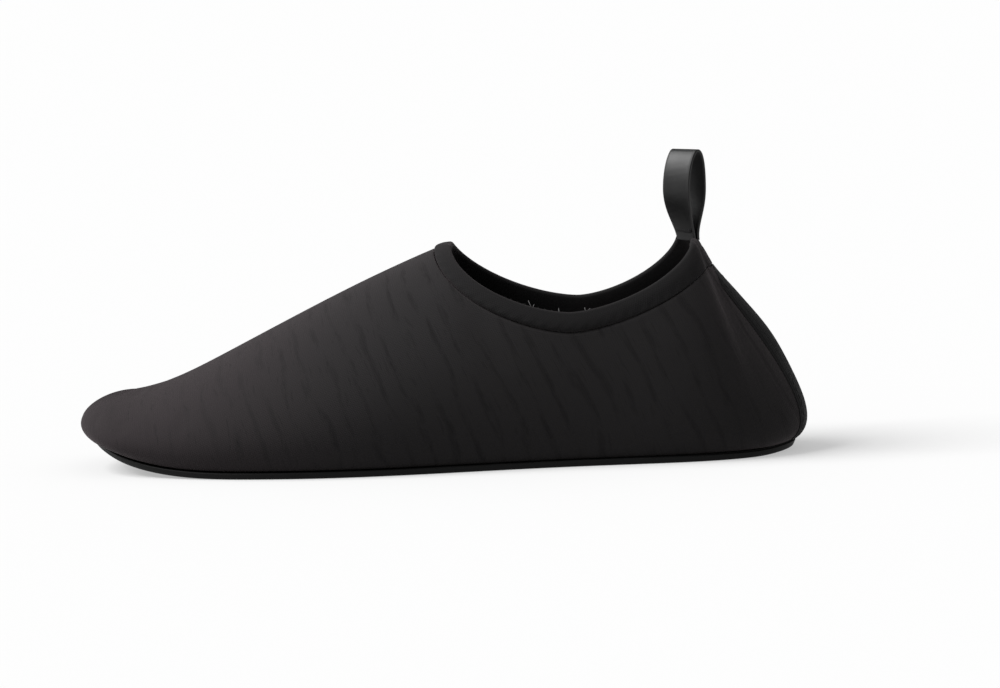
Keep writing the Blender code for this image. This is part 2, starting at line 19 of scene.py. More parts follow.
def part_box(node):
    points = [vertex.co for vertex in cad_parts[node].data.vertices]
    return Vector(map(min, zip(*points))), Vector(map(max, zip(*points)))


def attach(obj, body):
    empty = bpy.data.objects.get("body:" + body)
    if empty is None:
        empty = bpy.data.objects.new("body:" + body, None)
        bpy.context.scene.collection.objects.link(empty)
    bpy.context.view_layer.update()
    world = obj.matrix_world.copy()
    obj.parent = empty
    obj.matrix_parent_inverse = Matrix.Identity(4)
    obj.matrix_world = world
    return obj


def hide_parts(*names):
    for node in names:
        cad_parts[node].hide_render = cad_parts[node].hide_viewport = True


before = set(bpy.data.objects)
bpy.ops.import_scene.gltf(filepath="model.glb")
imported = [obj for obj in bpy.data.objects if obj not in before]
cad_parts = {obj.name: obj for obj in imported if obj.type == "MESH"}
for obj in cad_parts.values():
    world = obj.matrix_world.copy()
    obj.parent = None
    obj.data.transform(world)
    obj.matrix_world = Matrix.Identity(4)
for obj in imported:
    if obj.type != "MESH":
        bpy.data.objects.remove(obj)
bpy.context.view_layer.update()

bl_info = {
    "name": "Water shoe",
    "version": (1, 0, 0),
    "blender": (4, 5, 0),
    "location": "View3D > Sidebar > Water shoe",
    "description": "Builds a dressed left water shoe round its packed solids",
    "category": "Object",
}

# The ridge along the top of the foot: station as a share of the length, rise as
# a share of the instep height, side as a share of half the ball width, and the
# angle in degrees by which the column leans forward out of the cross section
Ridge = namedtuple("Ridge", "name station rise side lean")
RIDGE = [
    Ridge("nose",         0.0756, 0.358, 0.125, 90),
    Ridge("toe corner",   0.085, 0.363, 0.130, 50),
    Ridge("toe",          0.135, 0.410, 0.130, 16),
    Ridge("toe box",      0.222, 0.545, 0.120, 4),
    Ridge("ball",         0.310, 0.690, 0.100, 0),
    Ridge("waist",        0.400, 0.832, 0.080, 0),
    Ridge("instep",       0.492, 0.962, 0.060, 0),
    Ridge("mouth front",  0.575, 1.055, 0.050, 0),
    Ridge("mouth low",    0.665, 1.115, 0.040, 0),
    Ridge("ankle",        0.745, 1.140, 0.030, -6),
    Ridge("heel",         0.806, 1.130, 0.010, -24),
    Ridge("heel corner",  0.830, 1.115, 0.000, -55),
    Ridge("heel back",    0.853, 1.004, 0.000, -90),
]

# The foot line and the walls above it: station as a share of the length, half
# width, bulge outward and reach of the shoulder as shares of half the ball
# width, and bulge upward as a share of the instep height
Wall = namedtuple("Wall", "station half_width bulge_out bulge_up reach")
OUTER_SIDE = [
    Wall(0.016, -0.125, 0.25, 0.045, 0.31),
    Wall(0.049,  0.330, 0.35, 0.055, 0.35),
    Wall(0.105,  0.590, 0.31, 0.130, 0.34),
    Wall(0.196,  0.780, 0.30, 0.190, 0.47),
    Wall(0.305,  0.885, 0.30, 0.225, 0.56),
    Wall(0.405,  0.885, 0.27, 0.270, 0.55),
    Wall(0.505,  0.812, 0.23, 0.330, 0.52),
    Wall(0.602,  0.720, 0.21, 0.360, 0.54),
    Wall(0.698,  0.650, 0.20, 0.370, 0.57),
    Wall(0.790,  0.615, 0.22, 0.350, 0.54),
    Wall(0.875,  0.555, 0.30, 0.300, 0.44),
    Wall(0.946,  0.370, 0.346, 0.078, 0.32),
    Wall(0.984,  0.000, 0.409, 0.108, 0.41),
]
INNER_SIDE = [
    Wall(0.016,  0.125, 0.25, 0.045, 0.31),
    Wall(0.047,  0.520, 0.35, 0.055, 0.35),
    Wall(0.100,  0.720, 0.31, 0.130, 0.34),
    Wall(0.196,  0.835, 0.30, 0.190, 0.45),
    Wall(0.305,  0.850, 0.30, 0.240, 0.51),
    Wall(0.405,  0.760, 0.27, 0.300, 0.51),
    Wall(0.505,  0.660, 0.23, 0.350, 0.52),
    Wall(0.602,  0.600, 0.21, 0.360, 0.54),
    Wall(0.698,  0.575, 0.20, 0.370, 0.57),
    Wall(0.790,  0.570, 0.22, 0.350, 0.54),
    Wall(0.875,  0.520, 0.30, 0.300, 0.44),
    Wall(0.946,  0.350, 0.346, 0.078, 0.32),
    Wall(0.984,  0.000, 0.409, 0.108, 0.41),
]
HEEL_PLACE = len(RIDGE) - 1
FULL_TURN = 2 * HEEL_PLACE

# Stations along the shoe, as shares of its length counted from the toe
MOUTH_FRONT = 0.524
MOUTH_BACK = 0.858
MOUTH_ROUNDNESS = 1.6
MOUTH_SKEW = 0.0064
HEEL_TOP_SHARE = 0.80
SPRING_START = 0.25
SPRING_END = 0.023
HEEL_LIFT_START = 0.93
HEEL_LIFT_END = 0.975
ARCH_START = 0.40
ARCH_END = 0.74
ARCH_REACH = 0.55
SPINE_FRONT = 0.12
SPINE_BACK = 0.88
GAP = 0.0003

# Columns of the meshes, round the shoe or along each side of the mouth
UPPER_COLUMNS = 200
RIM_COLUMNS = 190
SEAM_COLUMNS = 400
SOLE_COLUMNS = 288
INSOLE_COLUMNS = 240

# Distances within which vertices are welded, in any piece and along the slit that
# the two halves of a flat sheet leave at the spine
WELD = 0.000001
SPINE_WELD = 0.00005
SPINE_SLIVER = 0.00001

# Cross grooves of the tread from one station to another, and the fine sipes in
# each lug between them, placed by shares of the pitch
GROOVE_RUNS = [(0.17, 0.43), (0.74, 0.92)]
GROOVE_PITCH = 0.0085
GROOVE_WIDTH = 0.0024
GROOVE_DEPTH = 0.0010
GROOVE_MARGIN = 0.0070
SIPE_SHARES = (0.42, 0.62)
SIPE_WIDTH = 0.0005
SIPE_DEPTH = 0.00045
SIPE_MARGIN = 0.0085

# The band's step: share of it that fades, from one spot behind the shoe's middle
# over a run toward the heel
STEP_FADE = 0.8
STEP_FADE_START = 0.050
STEP_FADE_RUN = 0.035

# The heel tape: share of its height where it starts, and share of its half width
# where its stitches run
TAPE_START = 0.05
TAPE_STITCH_SHARE = 0.74

# The webbing loop: lengths in metres, place past the heel back, share of the
# webbing in one leg, and turns of the strap in plan in degrees
LOOP_THICKNESS = 0.0010
LOOP_BASE_WIDTH = 0.0105
LOOP_BASE_GAP = 0.0006
LOOP_SUNK = 0.0016
LOOP_INSET = 0.0016
LOOP_PLACE = 1.2
LOOP_LEG_SHARE = 0.27
LOOP_BASE_TURN = -52.0
LOOP_TOP_TURN = -38.0

# The stage: where the sun stands, its breadth in degrees and its strength, the
# strength of the sky, and the size and glow of the floor
SUN_DIRECTION = (-0.68, -0.12, 0.72)
SUN_BREADTH = 40.0
SUN_STRENGTH = 3.9
SKY_STRENGTH = 0.34
FLOOR_SIZE = 60.0
FLOOR_GLOW = 0.42

# The camera: turn, tilt and roll in degrees, distance, width of the view at the
# shoe and the spot that it looks at
CAMERA_TURN = 4.0
CAMERA_TILT = 6.5
CAMERA_ROLL = 2.2
CAMERA_DISTANCE = 1.8
VIEW_WIDTH = 0.3596
VIEW_CENTRE = (0.0219, 0.0, 0.0409)
SENSOR_WIDTH = 36.0

# Loose thread ends at the mouth's rim on the outer side: station along the shoe in
# metres, run forward, run toward the inner side and rise of the end
ThreadEnd = namedtuple("ThreadEnd", "station forward aside rise")
THREAD_ENDS = [
    ThreadEnd(0.0352, 0.0009, 0.0012, 0.0021),
    ThreadEnd(0.0360, -0.0004, 0.0010, 0.0009),
    ThreadEnd(0.0452, 0.0002, 0.0012, 0.0012),
    ThreadEnd(0.0545, 0.0003, 0.0010, 0.0010),
    ThreadEnd(0.0556, -0.0007, 0.0008, 0.0005),
]

# Soft folds in the knit, each between two spots of the last: width of the fold
# and its height, below zero for a trough, in metres
Fold = namedtuple("Fold", "place rise end_place end_rise width height")
FOLDS = [
    Fold(1.30, 0.93, 1.45, 0.74, 0.0016, -0.00030),
    Fold(1.70, 0.94, 1.85, 0.76, 0.0018, -0.00030),
    Fold(2.15, 0.95, 2.30, 0.80, 0.0020, -0.00028),
    Fold(0.90, 0.60, 1.05, 0.38, 0.0018, -0.00026),
    Fold(1.60, 0.52, 1.70, 0.30, 0.0020, -0.00026),
    Fold(2.60, 0.50, 2.66, 0.26, 0.0024, -0.00026),
    Fold(22.70, 0.93, 22.55, 0.74, 0.0016, -0.00030),
    Fold(22.20, 0.94, 22.05, 0.76, 0.0018, -0.00030),
    Fold(22.90, 0.60, 22.80, 0.38, 0.0018, -0.00026),
    Fold(5.90, 0.74, 6.55, 0.40, 0.0060, 0.00040),
    Fold(6.60, 0.60, 7.10, 0.28, 0.0050, -0.00035),
    Fold(18.10, 0.74, 17.45, 0.40, 0.0060, 0.00040),
    Fold(17.30, 0.60, 16.90, 0.28, 0.0050, -0.00035),
    Fold(10.75, 0.66, 11.05, 0.46, 0.0050, -0.00012),
    Fold(13.25, 0.66, 12.95, 0.46, 0.0050, -0.00012),
    Fold(9.40, 0.40, 10.30, 0.12, 0.0060, -0.00030),
    Fold(14.60, 0.40, 13.70, 0.12, 0.0060, -0.00030),
]


class ShoeSizes(bpy.types.PropertyGroup):
    """Sizes of the shoe and of its finer details."""

    shoe_length: bpy.props.FloatProperty(
        name="Shoe length", description="Length that the stations are shares of",
        default=0.261, unit="LENGTH")
    ball_width: bpy.props.FloatProperty(
        name="Ball width", description="Width at the ball of the foot",
        default=0.098, unit="LENGTH")
    instep_height: bpy.props.FloatProperty(
        name="Instep height", description="Height at the front of the mouth",
        default=0.078, unit="LENGTH")
    heel_height: bpy.props.FloatProperty(
        name="Heel height", description="Height of the mouth at the back",
        default=0.0768, unit="LENGTH")
    toe_spring: bpy.props.FloatProperty(
        name="Toe spring", description="Rise of the sole at the toe",
        default=0.0089, unit="LENGTH")
    heel_lift: bpy.props.FloatProperty(
        name="Heel lift", description="Rise of the sole at the back of the heel",
        default=0.0008, unit="LENGTH")
    arch_rise: bpy.props.FloatProperty(
        name="Arch rise", description="Rise of the sole under the arch",
        default=0.0030, unit="LENGTH")
    wall: bpy.props.FloatProperty(
        name="Wall", description="Thickness of the knit with its lining",
        default=0.0016, unit="LENGTH")
    sole_thickness: bpy.props.FloatProperty(
        name="Sole thickness", description="Thickness of the rubber sole",
        default=0.0024, unit="LENGTH")
    sole_lip: bpy.props.FloatProperty(
        name="Sole lip", description="How far the sole stands out past the upper",
        default=0.0012, unit="LENGTH")
    insole_thickness: bpy.props.FloatProperty(
        name="Insole thickness", description="Thickness of the foam insole",
        default=0.0025, unit="LENGTH")
    mouth_depth: bpy.props.FloatProperty(
        name="Mouth depth", description="How far the mouth's rim dips at the ankle",
        default=0.0232, unit="LENGTH")
    band_width: bpy.props.FloatProperty(
        name="Band width", description="Width of the collar band at the sides",
        default=0.0068, unit="LENGTH")
    band_width_back: bpy.props.FloatProperty(
        name="Band width at the back", description="Width of the collar band at the heel",
        default=0.0118, unit="LENGTH")
    tape_width: bpy.props.FloatProperty(
        name="Tape width", description="Width of the tape over the back seam",
        default=0.018, unit="LENGTH")
    loop_height: bpy.props.FloatProperty(
        name="Loop height", description="Height of the webbing loop above the band",
        default=0.0310, unit="LENGTH")
    loop_crown: bpy.props.FloatProperty(
        name="Loop crown", description="Height of the rounded top of the loop",
        default=0.0135, unit="LENGTH")
    loop_bow: bpy.props.FloatProperty(
        name="Loop bow", description="How far the loop bows out at half its height",
        default=0.0013, unit="LENGTH")
    loop_opening: bpy.props.FloatProperty(
        name="Loop opening", description="Widest gap between the loop's two legs",
        default=0.0082, unit="LENGTH")
    loop_width: bpy.props.FloatProperty(
        name="Loop width", description="Width of the webbing",
        default=0.0120, unit="LENGTH")
    stitch_length: bpy.props.FloatProperty(
        name="Stitch length", description="Length of one stitch with its gap",
        default=0.0028, unit="LENGTH")
    stripe_pitch: bpy.props.FloatProperty(
        name="Stripe pitch", description="Distance between the tonal stripes",
        default=0.0086, unit="LENGTH")
    loop_pitch: bpy.props.FloatProperty(
        name="Knit pitch", description="Width of one column of knitted loops",
        default=0.00085, unit="LENGTH")


class ShoeColours(bpy.types.PropertyGroup):
    """Colours of the shoe and of the stage."""

    knit: bpy.props.FloatVectorProperty(
        name="Knit", description="Ground colour of the knit",
        subtype="COLOR", default=(0.0146, 0.0136, 0.0140))
    stripe: bpy.props.FloatVectorProperty(
        name="Stripe", description="Colour of the tonal stripes",
        subtype="COLOR", default=(0.0068, 0.0062, 0.0065))
    lining: bpy.props.FloatVectorProperty(
        name="Lining", description="Colour of the brushed back of the knit",
        subtype="COLOR", default=(0.0170, 0.0165, 0.0170))
    band: bpy.props.FloatVectorProperty(
        name="Band", description="Colour of the collar band",
        subtype="COLOR", default=(0.0078, 0.0074, 0.0077))
    tape: bpy.props.FloatVectorProperty(
        name="Tape", description="Colour of the heel tape",
        subtype="COLOR", default=(0.0068, 0.0066, 0.0068))
    webbing: bpy.props.FloatVectorProperty(
        name="Webbing", description="Colour of the loop's webbing",
        subtype="COLOR", default=(0.0036, 0.0035, 0.0037))
    rubber: bpy.props.FloatVectorProperty(
        name="Rubber", description="Colour of the sole",
        subtype="COLOR", default=(0.0026, 0.0026, 0.0027))
    insole: bpy.props.FloatVectorProperty(
        name="Insole", description="Colour of the insole's cloth face",
        subtype="COLOR", default=(0.0140, 0.0140, 0.0148))
    thread: bpy.props.FloatVectorProperty(
        name="Thread", description="Colour of the sewing thread",
        subtype="COLOR", default=(0.0150, 0.0145, 0.0150))
    loose_thread: bpy.props.FloatVectorProperty(
        name="Loose thread", description="Colour of the loose thread ends",
        subtype="COLOR", default=(0.120, 0.116, 0.118))
    floor: bpy.props.FloatVectorProperty(
        name="Floor", description="Colour of the floor",
        subtype="COLOR", default=(0.46, 0.46, 0.46))


def smooth_step(share):
    """Soft step from 0 to 1."""
    share = np.clip(share, 0.0, 1.0)
    return share * share * (3 - 2 * share)


def unit(vectors):
    """Vectors of length one along the given ones."""
    return vectors / np.maximum(np.linalg.norm(vectors, axis=-1, keepdims=True), 1e-12)


def closed_spline(values):
    """Smooth closed curve through evenly spaced values, as value and slope."""
    values = np.asarray(values, float)
    count = len(values)
    system = 4 * np.eye(count)
    system += np.roll(np.eye(count), 1, axis=0) + np.roll(np.eye(count), -1, axis=0)
    slopes = np.linalg.solve(system, 3 * (np.roll(values, -1) - np.roll(values, 1)))

    def at(place):
        place = np.asarray(place, float)
        low = np.floor(place).astype(int)
        part = place - low
        here, after = low % count, (low + 1) % count
        start, end = values[here], values[after]
        leave, arrive = slopes[here], slopes[after]
        turn = 3 * (end - start) - 2 * leave - arrive
        close = 2 * (start - end) + leave + arrive
        value = start + part * (leave + part * (turn + part * close))
        return value, leave + part * (2 * turn + 3 * part * close)

    return at


def round_trip(outer, inner):
    """Curve along the outer side to the heel and back along the inner side."""
    return closed_spline(list(outer) + list(inner)[-2:0:-1])


class Last:
    """The surface of the shoe, with every place and rise on it."""

    def __init__(self, sizes):
        self.sizes = sizes
        self.half_ball = sizes.ball_width / 2
        leans = [math.radians(row.lean) for row in RIDGE]
        stations = [row.station for row in RIDGE]
        sides = [row.side for row in RIDGE]
        rises = [row.rise for row in RIDGE]
        ahead = [math.sin(angle) for angle in leans]
        self.ridge_x = round_trip(stations, stations)
        self.ridge_y = round_trip(sides, sides)
        self.ridge_z = round_trip(rises, rises)
        self.ahead = round_trip(ahead, ahead)
        self.aside = round_trip([-math.cos(a) for a in leans], [math.cos(a) for a in leans])
        self.foot_x = round_trip([w.station for w in OUTER_SIDE], [w.station for w in INNER_SIDE])
        self.foot_y = round_trip([-w.half_width for w in OUTER_SIDE],
                                 [w.half_width for w in INNER_SIDE])
        self.bulge_out = round_trip([w.bulge_out for w in OUTER_SIDE],
                                    [w.bulge_out for w in INNER_SIDE])
        self.bulge_up = round_trip([w.bulge_up for w in OUTER_SIDE],
                                   [w.bulge_up for w in INNER_SIDE])
        self.reach = round_trip([w.reach for w in OUTER_SIDE], [w.reach for w in INNER_SIDE])
        points, outward = self.foot(np.linspace(0, FULL_TURN, 721))
        edge = points + outward * sizes.sole_lip
        low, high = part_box("outsole")
        middle = (edge.min(axis=0) + edge.max(axis=0)) / 2
        self.shift = np.array([(low.x + high.x) / 2 - middle[0],
                               (low.y + high.y) / 2 - middle[1], 0.0])

    def underside(self, x, y):
        """Height of the sole's underside at a spot in plan."""
        sizes = self.sizes
        station = x / sizes.shoe_length
        toe = np.maximum((SPRING_START - station) / (SPRING_START - SPRING_END), 0.0)
        heel = np.maximum((station - HEEL_LIFT_START) / (HEEL_LIFT_END - HEEL_LIFT_START), 0.0)
        along = np.clip((station - ARCH_START) / (ARCH_END - ARCH_START), 0.0, 1.0)
        arch = np.sin(math.pi * along) ** 2 * smooth_step(y / (ARCH_REACH * self.half_ball))
        return sizes.toe_spring * toe ** 3 + sizes.heel_lift * heel ** 2 + sizes.arch_rise * arch

    def foot(self, places):
        """Points of the foot line and the outward directions there."""
        x, along_x = self.foot_x(places)
        y, along_y = self.foot_y(places)
        length = self.sizes.shoe_length
        outward = unit(np.stack([along_y * self.half_ball, -along_x * length, 0 * x], axis=-1))
        x, y = x * length, y * self.half_ball
        return np.stack([x, y, self.underside(x, y)], axis=-1), outward

    def ridge(self, places):
        """Points of the ridge."""
        sizes = self.sizes
        return np.stack([self.ridge_x(places)[0] * sizes.shoe_length,
                         self.ridge_y(places)[0] * self.half_ball,
                         self.ridge_z(places)[0] * sizes.instep_height], axis=-1)

    def columns(self, places):
        """Four control points of the column at each place."""
        places = np.asarray(places, float) % FULL_TURN
        sizes = self.sizes
        foot, outward = self.foot(places)
        up = np.array([0.0, 0.0, 1.0])
        foot = foot + up * (sizes.sole_thickness + GAP)
        belly = foot + outward * (self.bulge_out(places)[0] * self.half_ball)[..., None]
        belly = belly + up * (self.bulge_up(places)[0] * sizes.instep_height)[..., None]
        folded = np.where(places <= HEEL_PLACE, places, FULL_TURN - places)
        folded = np.clip(folded, 0.02, HEEL_PLACE - 0.02)
        climb = self.ridge_z(folded)[1] * sizes.instep_height
        run = self.ridge_x(folded)[1] * sizes.shoe_length
        along = unit(np.stack([run, 0 * run, climb], axis=-1))
        sideways = np.stack([0 * run, self.aside(places)[0], 0 * run], axis=-1)
        lead = unit(sideways - along * self.ahead(places)[0][..., None])
        ridge = self.ridge(places)
        shoulder = ridge + lead * (self.reach(places)[0] * self.half_ball)[..., None]
        return foot, belly, shoulder, ridge

    def bezier(self, places, rises):
        """Points of the columns at the given rises, one row of rises for each place."""
        foot, belly, shoulder, ridge = self.columns(places)
        rises = np.asarray(rises, float)
        if rises.ndim == 2:
            foot, belly = foot[:, None], belly[:, None]
            shoulder, ridge = shoulder[:, None], ridge[:, None]
        rise = rises[..., None]
        fall = 1 - rise
        return (fall ** 3 * foot + 3 * fall * fall * rise * belly
                + 3 * fall * rise * rise * shoulder + rise ** 3 * ridge)

    def normals(self, places, rises):
        """Outward directions of the surface."""
        step = 0.004
        places = np.asarray(places, float)
        along = self.bezier(places + step, rises) - self.bezier(places - step, rises)
        up = self.bezier(places, rises + step) - self.bezier(places, rises - step)
        return unit(np.cross(along, up))

    def on(self, places, rises, offsets=0.0):
        """Points on the surface, moved outward by the offsets, where the solids stand."""
        rises = np.asarray(rises, float)
        offsets = np.broadcast_to(np.asarray(offsets, float), rises.shape)
        points = self.bezier(places, rises) + self.normals(places, rises) * offsets[..., None]
        return points + self.shift

    def mouth_level(self, points, places, spread, spread_back):
        """Below zero inside the mouth's side view, widened by a spread."""
        sizes = self.sizes
        front, back = MOUTH_FRONT * sizes.shoe_length, MOUTH_BACK * sizes.shoe_length
        middle = (front + back) / 2
        skew = MOUTH_SKEW * smooth_step((places % FULL_TURN - HEEL_PLACE) / 2)
        x, z = points[..., 0], points[..., 2]
        ahead = x < middle
        reach = np.where(ahead, middle - front + spread, back - middle - skew + spread_back)
        below = np.maximum(sizes.instep_height - z, 0.0) / (sizes.mouth_depth + spread)
        level = (np.abs(x - middle) / reach) ** MOUTH_ROUNDNESS + below ** MOUTH_ROUNDNESS - 1
        top = (sizes.heel_height - spread_back * HEEL_TOP_SHARE - z) / sizes.mouth_depth
        return np.where(ahead, level, np.minimum(level, top))

    def edge(self, places, spread, spread_back):
        """Rise at which the widened mouth cuts each column, 1 where it doesn't."""
        places = np.asarray(places, float)
        spread = np.broadcast_to(spread, places.shape)
        spread_back = np.broadcast_to(spread_back, places.shape)
        tops = self.bezier(places, np.ones_like(places))
        uncut = self.mouth_level(tops, places, spread, spread_back) >= 0
        low, high = np.zeros_like(places), np.ones_like(places)
        for _ in range(26):
            middle = (low + high) / 2
            inside = self.mouth_level(self.bezier(places, middle), places, spread, spread_back) < 0
            high, low = np.where(inside, middle, high), np.where(inside, low, middle)
        return np.where(uncut, 1.0, (low + high) / 2)

    def first_cut(self, spread, spread_back):
        """Place on the ridge where the widened mouth begins."""
        low, high = 0.0, HEEL_PLACE / 1.5
        for _ in range(40):
            middle = np.array((low + high) / 2)
            if self.mouth_level(self.ridge(middle), middle, spread, spread_back) < 0:
                high = float(middle)
            else:
                low = float(middle)
        return high


def travel_along(points):
    """Distance travelled along a row of points."""
    steps = np.linalg.norm(np.diff(points, axis=-2), axis=-1)
    start = np.zeros(steps.shape[:-1] + (1,))
    return np.concatenate([start, np.cumsum(steps, axis=-1)], axis=-1)


def even_places(last, spread, spread_back, count):
    """Places round the shoe, evenly spread along the mouth's edge and the foot line."""
    corner = last.first_cut(spread, spread_back)
    folded = np.linspace(0, HEEL_PLACE, 801)
    travel = np.zeros_like(folded)
    for places in (folded, FULL_TURN - folded):
        tops = last.on(places, last.edge(places, spread, spread_back))
        travel += travel_along(tops) + travel_along(last.on(places, 0 * places))
    at_corner = np.interp(corner, folded, travel)
    before = round(count * at_corner / travel[-1])
    marks = np.concatenate([np.linspace(0, at_corner, before + 1),
                            np.linspace(at_corner, travel[-1], count - before + 1)[1:]])
    half = np.interp(marks, travel, folded)
    half[before] = corner
    return np.concatenate([half, FULL_TURN - half[-2::-1]])


def rim_places(last, count):
    """Places round the mouth's edge from its front over the heel to its front again."""
    start = last.first_cut(0.0, 0.0)
    samples = start + (HEEL_PLACE - start) * np.linspace(0, 1, 401) ** 2
    sides = []
    for inner in (False, True):
        places = FULL_TURN - samples if inner else samples
        travel = travel_along(last.on(places, last.edge(places, 0.0, 0.0)))
        marks = np.linspace(0, travel[-1], count + 1)
        sides.append(np.interp(marks, travel, samples))
    return sides[0], FULL_TURN - sides[1]


def grain_map(last, places, rises, points):
    """Where each point lies on the flat knit: across the stripes and round the foot."""
    mid = last.on(places, np.full(len(places), 0.4))
    folded = np.where(places <= HEEL_PLACE, places, FULL_TURN - places)
    outer = places <= HEEL_PLACE
    along = np.zeros(len(places))
    for side in (outer, ~outer):
        order = np.argsort(folded[side])
        index = np.flatnonzero(side)[order]
        travel = travel_along(mid[index])
        at_ball = np.interp(4.0, folded[index], travel)
        along[index] = travel - at_ball + np.interp(4.0, folded[index], mid[index, 0])
    facing = np.abs(last.foot(places)[1][:, 1])
    ridge_z = last.ridge(places)[:, 2]
    lean_low, lean_high, lean_depth = 0.10, 0.46, 0.020

    def lean(height):
        return lean_low * height + lean_high * (
            height - lean_depth * (1 - np.exp(-height / lean_depth)))

    across = along[:, None] + (points[..., 0] - mid[:, None, 0]) * facing[:, None]
    down = lean(points[..., 2])
    top = lean(ridge_z)[:, None]
    across = across + np.where(outer[:, None], down, 2 * top - down)
    full = np.linspace(0, 1, 41)
    lengths = travel_along(last.bezier(places, np.broadcast_to(full, (len(places), 41))))
    girth = np.array([length[-1] - np.interp(rise, full, length)
                      for length, rise in zip(lengths, rises)])
    girth = np.where(outer[:, None], girth, -girth)
    return np.stack([across, girth], axis=-1)


def step_fade(points):
    """Share of the band's step that is left, fading toward the back of the heel."""
    return 1 - STEP_FADE * smooth_step((points[..., 0] - STEP_FADE_START) / STEP_FADE_RUN)


def fold_heights(last, points):
    """Height that the folds in the knit give each point."""
    heights = np.zeros(points.shape[:-1])
    for fold in FOLDS:
        ends = np.linspace(0, 1, 9)
        track = last.on(fold.place + (fold.end_place - fold.place) * ends,
                        fold.rise + (fold.end_rise - fold.rise) * ends)
        nearest = np.full(points.shape[:-1], 1e9)
        share = np.zeros(points.shape[:-1])
        for index, (start, end) in enumerate(zip(track[:-1], track[1:])):
            run = end - start
            part = np.clip((points - start) @ run / (run @ run), 0, 1)
            gap = np.linalg.norm(points - start - part[..., None] * run, axis=-1)
            closer = gap < nearest
            share = np.where(closer, (index + part) / 8, share)
            nearest = np.where(closer, gap, nearest)
        taper = smooth_step(share / 0.35) * smooth_step((1 - share) / 0.35)
        heights += fold.height * np.exp(-(nearest / fold.width) ** 2) * (0.15 + 0.85 * taper)
    return heights


def deselect_all():
    """Leave nothing selected, so that an operator acts on its own piece alone."""
    if bpy.context.object and bpy.context.object.mode != "OBJECT":
        bpy.ops.object.mode_set(mode="OBJECT")
    bpy.ops.object.select_all(action="DESELECT")


def make_active(piece):
    """Select one piece alone."""
    deselect_all()
    piece.select_set(True)
    bpy.context.view_layer.objects.active = piece


def mend_mesh(piece, weld=0.0, sliver=0.0, fill=False):
    """Weld close vertices and drop slivers, or fill open ends, and turn the faces outward."""
    make_active(piece)
    bpy.ops.object.mode_set(mode="EDIT")
    bpy.ops.mesh.select_all(action="SELECT")
    if weld:
        bpy.ops.mesh.remove_doubles(threshold=weld)
        bpy.ops.mesh.dissolve_degenerate(threshold=sliver)
    if fill:
        bpy.ops.mesh.select_all(action="DESELECT")
        bpy.ops.mesh.select_non_manifold()
        bpy.ops.mesh.fill_holes(sides=0)
    bpy.ops.mesh.select_all(action="SELECT")
    bpy.ops.mesh.normals_make_consistent(inside=False)
    bpy.ops.object.mode_set(mode="OBJECT")


def grid_piece(name, points, flat):
    """Sheet of columns by rows shaped from a grid, with its flat lie as the UV map."""
    columns, rows = points.shape[:2]
    deselect_all()
    bpy.ops.mesh.primitive_grid_add(x_subdivisions=rows - 1, y_subdivisions=columns - 1)
    piece = bpy.context.object
    piece.name = piece.data.name = name
    mesh = piece.data
    mesh.vertices.foreach_set("co", points.reshape(-1).astype(np.float32))
    corners = np.zeros(len(mesh.loops), np.int32)
    mesh.loops.foreach_get("vertex_index", corners)
    mesh.uv_layers[0].name = "flat"
    mesh.uv_layers[0].data.foreach_set("uv", flat.reshape(-1, 2)[corners].reshape(-1).astype(np.float32))
    mesh.update()
    mend_mesh(piece, WELD, WELD)
    return piece


def face_outward(piece, centre_line):
    """Turn the faces round if they point towards the middle of the shoe."""
    mesh = piece.data
    centres = np.array([face.center for face in mesh.polygons])
    normals = np.array([face.normal for face in mesh.polygons])
    away = centres - centre_line
    if float((away * normals).sum(axis=1).mean()) < 0:
        make_active(piece)
        bpy.ops.object.mode_set(mode="EDIT")
        bpy.ops.mesh.select_all(action="SELECT")
        bpy.ops.mesh.flip_normals()
        bpy.ops.object.mode_set(mode="OBJECT")


def apply_modifier(piece, kind, name, **settings):
    """Add a modifier, set it and apply it."""
    make_active(piece)
    modifier = piece.modifiers.new(name, kind)
    for key, value in settings.items():
        setattr(modifier, key, value)
    bpy.ops.object.modifier_apply(modifier=modifier.name)


def smooth_faces(piece, angle=40.0):
    """Smooth shading with creases kept above an angle."""
    make_active(piece)
    bpy.ops.object.shade_smooth_by_angle(angle=math.radians(angle))


def dress(piece, slot, *materials):
    """Give a piece its materials and its body. The slot argument is not used."""
    piece.data.materials.clear()
    for material in materials:
        piece.data.materials.append(material)
    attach(piece, "root")


def copies_of(model, matrices, name):
    """One piece joined from copies of a modelled stitch."""
    copies = []
    for matrix in matrices:
        copy = model.copy()
        copy.data = model.data.copy()
        copy.data.transform(matrix)
        bpy.context.scene.collection.objects.link(copy)
        copies.append(copy)
    bpy.data.objects.remove(model, do_unlink=True)
    deselect_all()
    for copy in copies:
        copy.select_set(True)
    bpy.context.view_layer.objects.active = copies[0]
    bpy.ops.object.join()
    joined = bpy.context.object
    joined.name = joined.data.name = name
    return joined


class Wire:
    """A shader value that takes part in Python sums."""

    def __init__(self, board, socket):
        self.board = board
        self.socket = socket

    def math(self, operation, *others):
        """Result of a math operation on this value and others."""
        values = dict(enumerate((self, *others)))
        return self.board.add("ShaderNodeMath", {"operation": operation}, values)

    def __add__(self, other):
        return self.math("ADD", other)

    def __radd__(self, other):
        return self.math("ADD", other)

    def __sub__(self, other):
        return self.math("SUBTRACT", other)

    def __rsub__(self, other):
        return (self * -1.0).math("ADD", other)

    def __mul__(self, other):
        return self.math("MULTIPLY", other)

    def __rmul__(self, other):
        return self.math("MULTIPLY", other)

    def __truediv__(self, other):
        return self.math("DIVIDE", other)


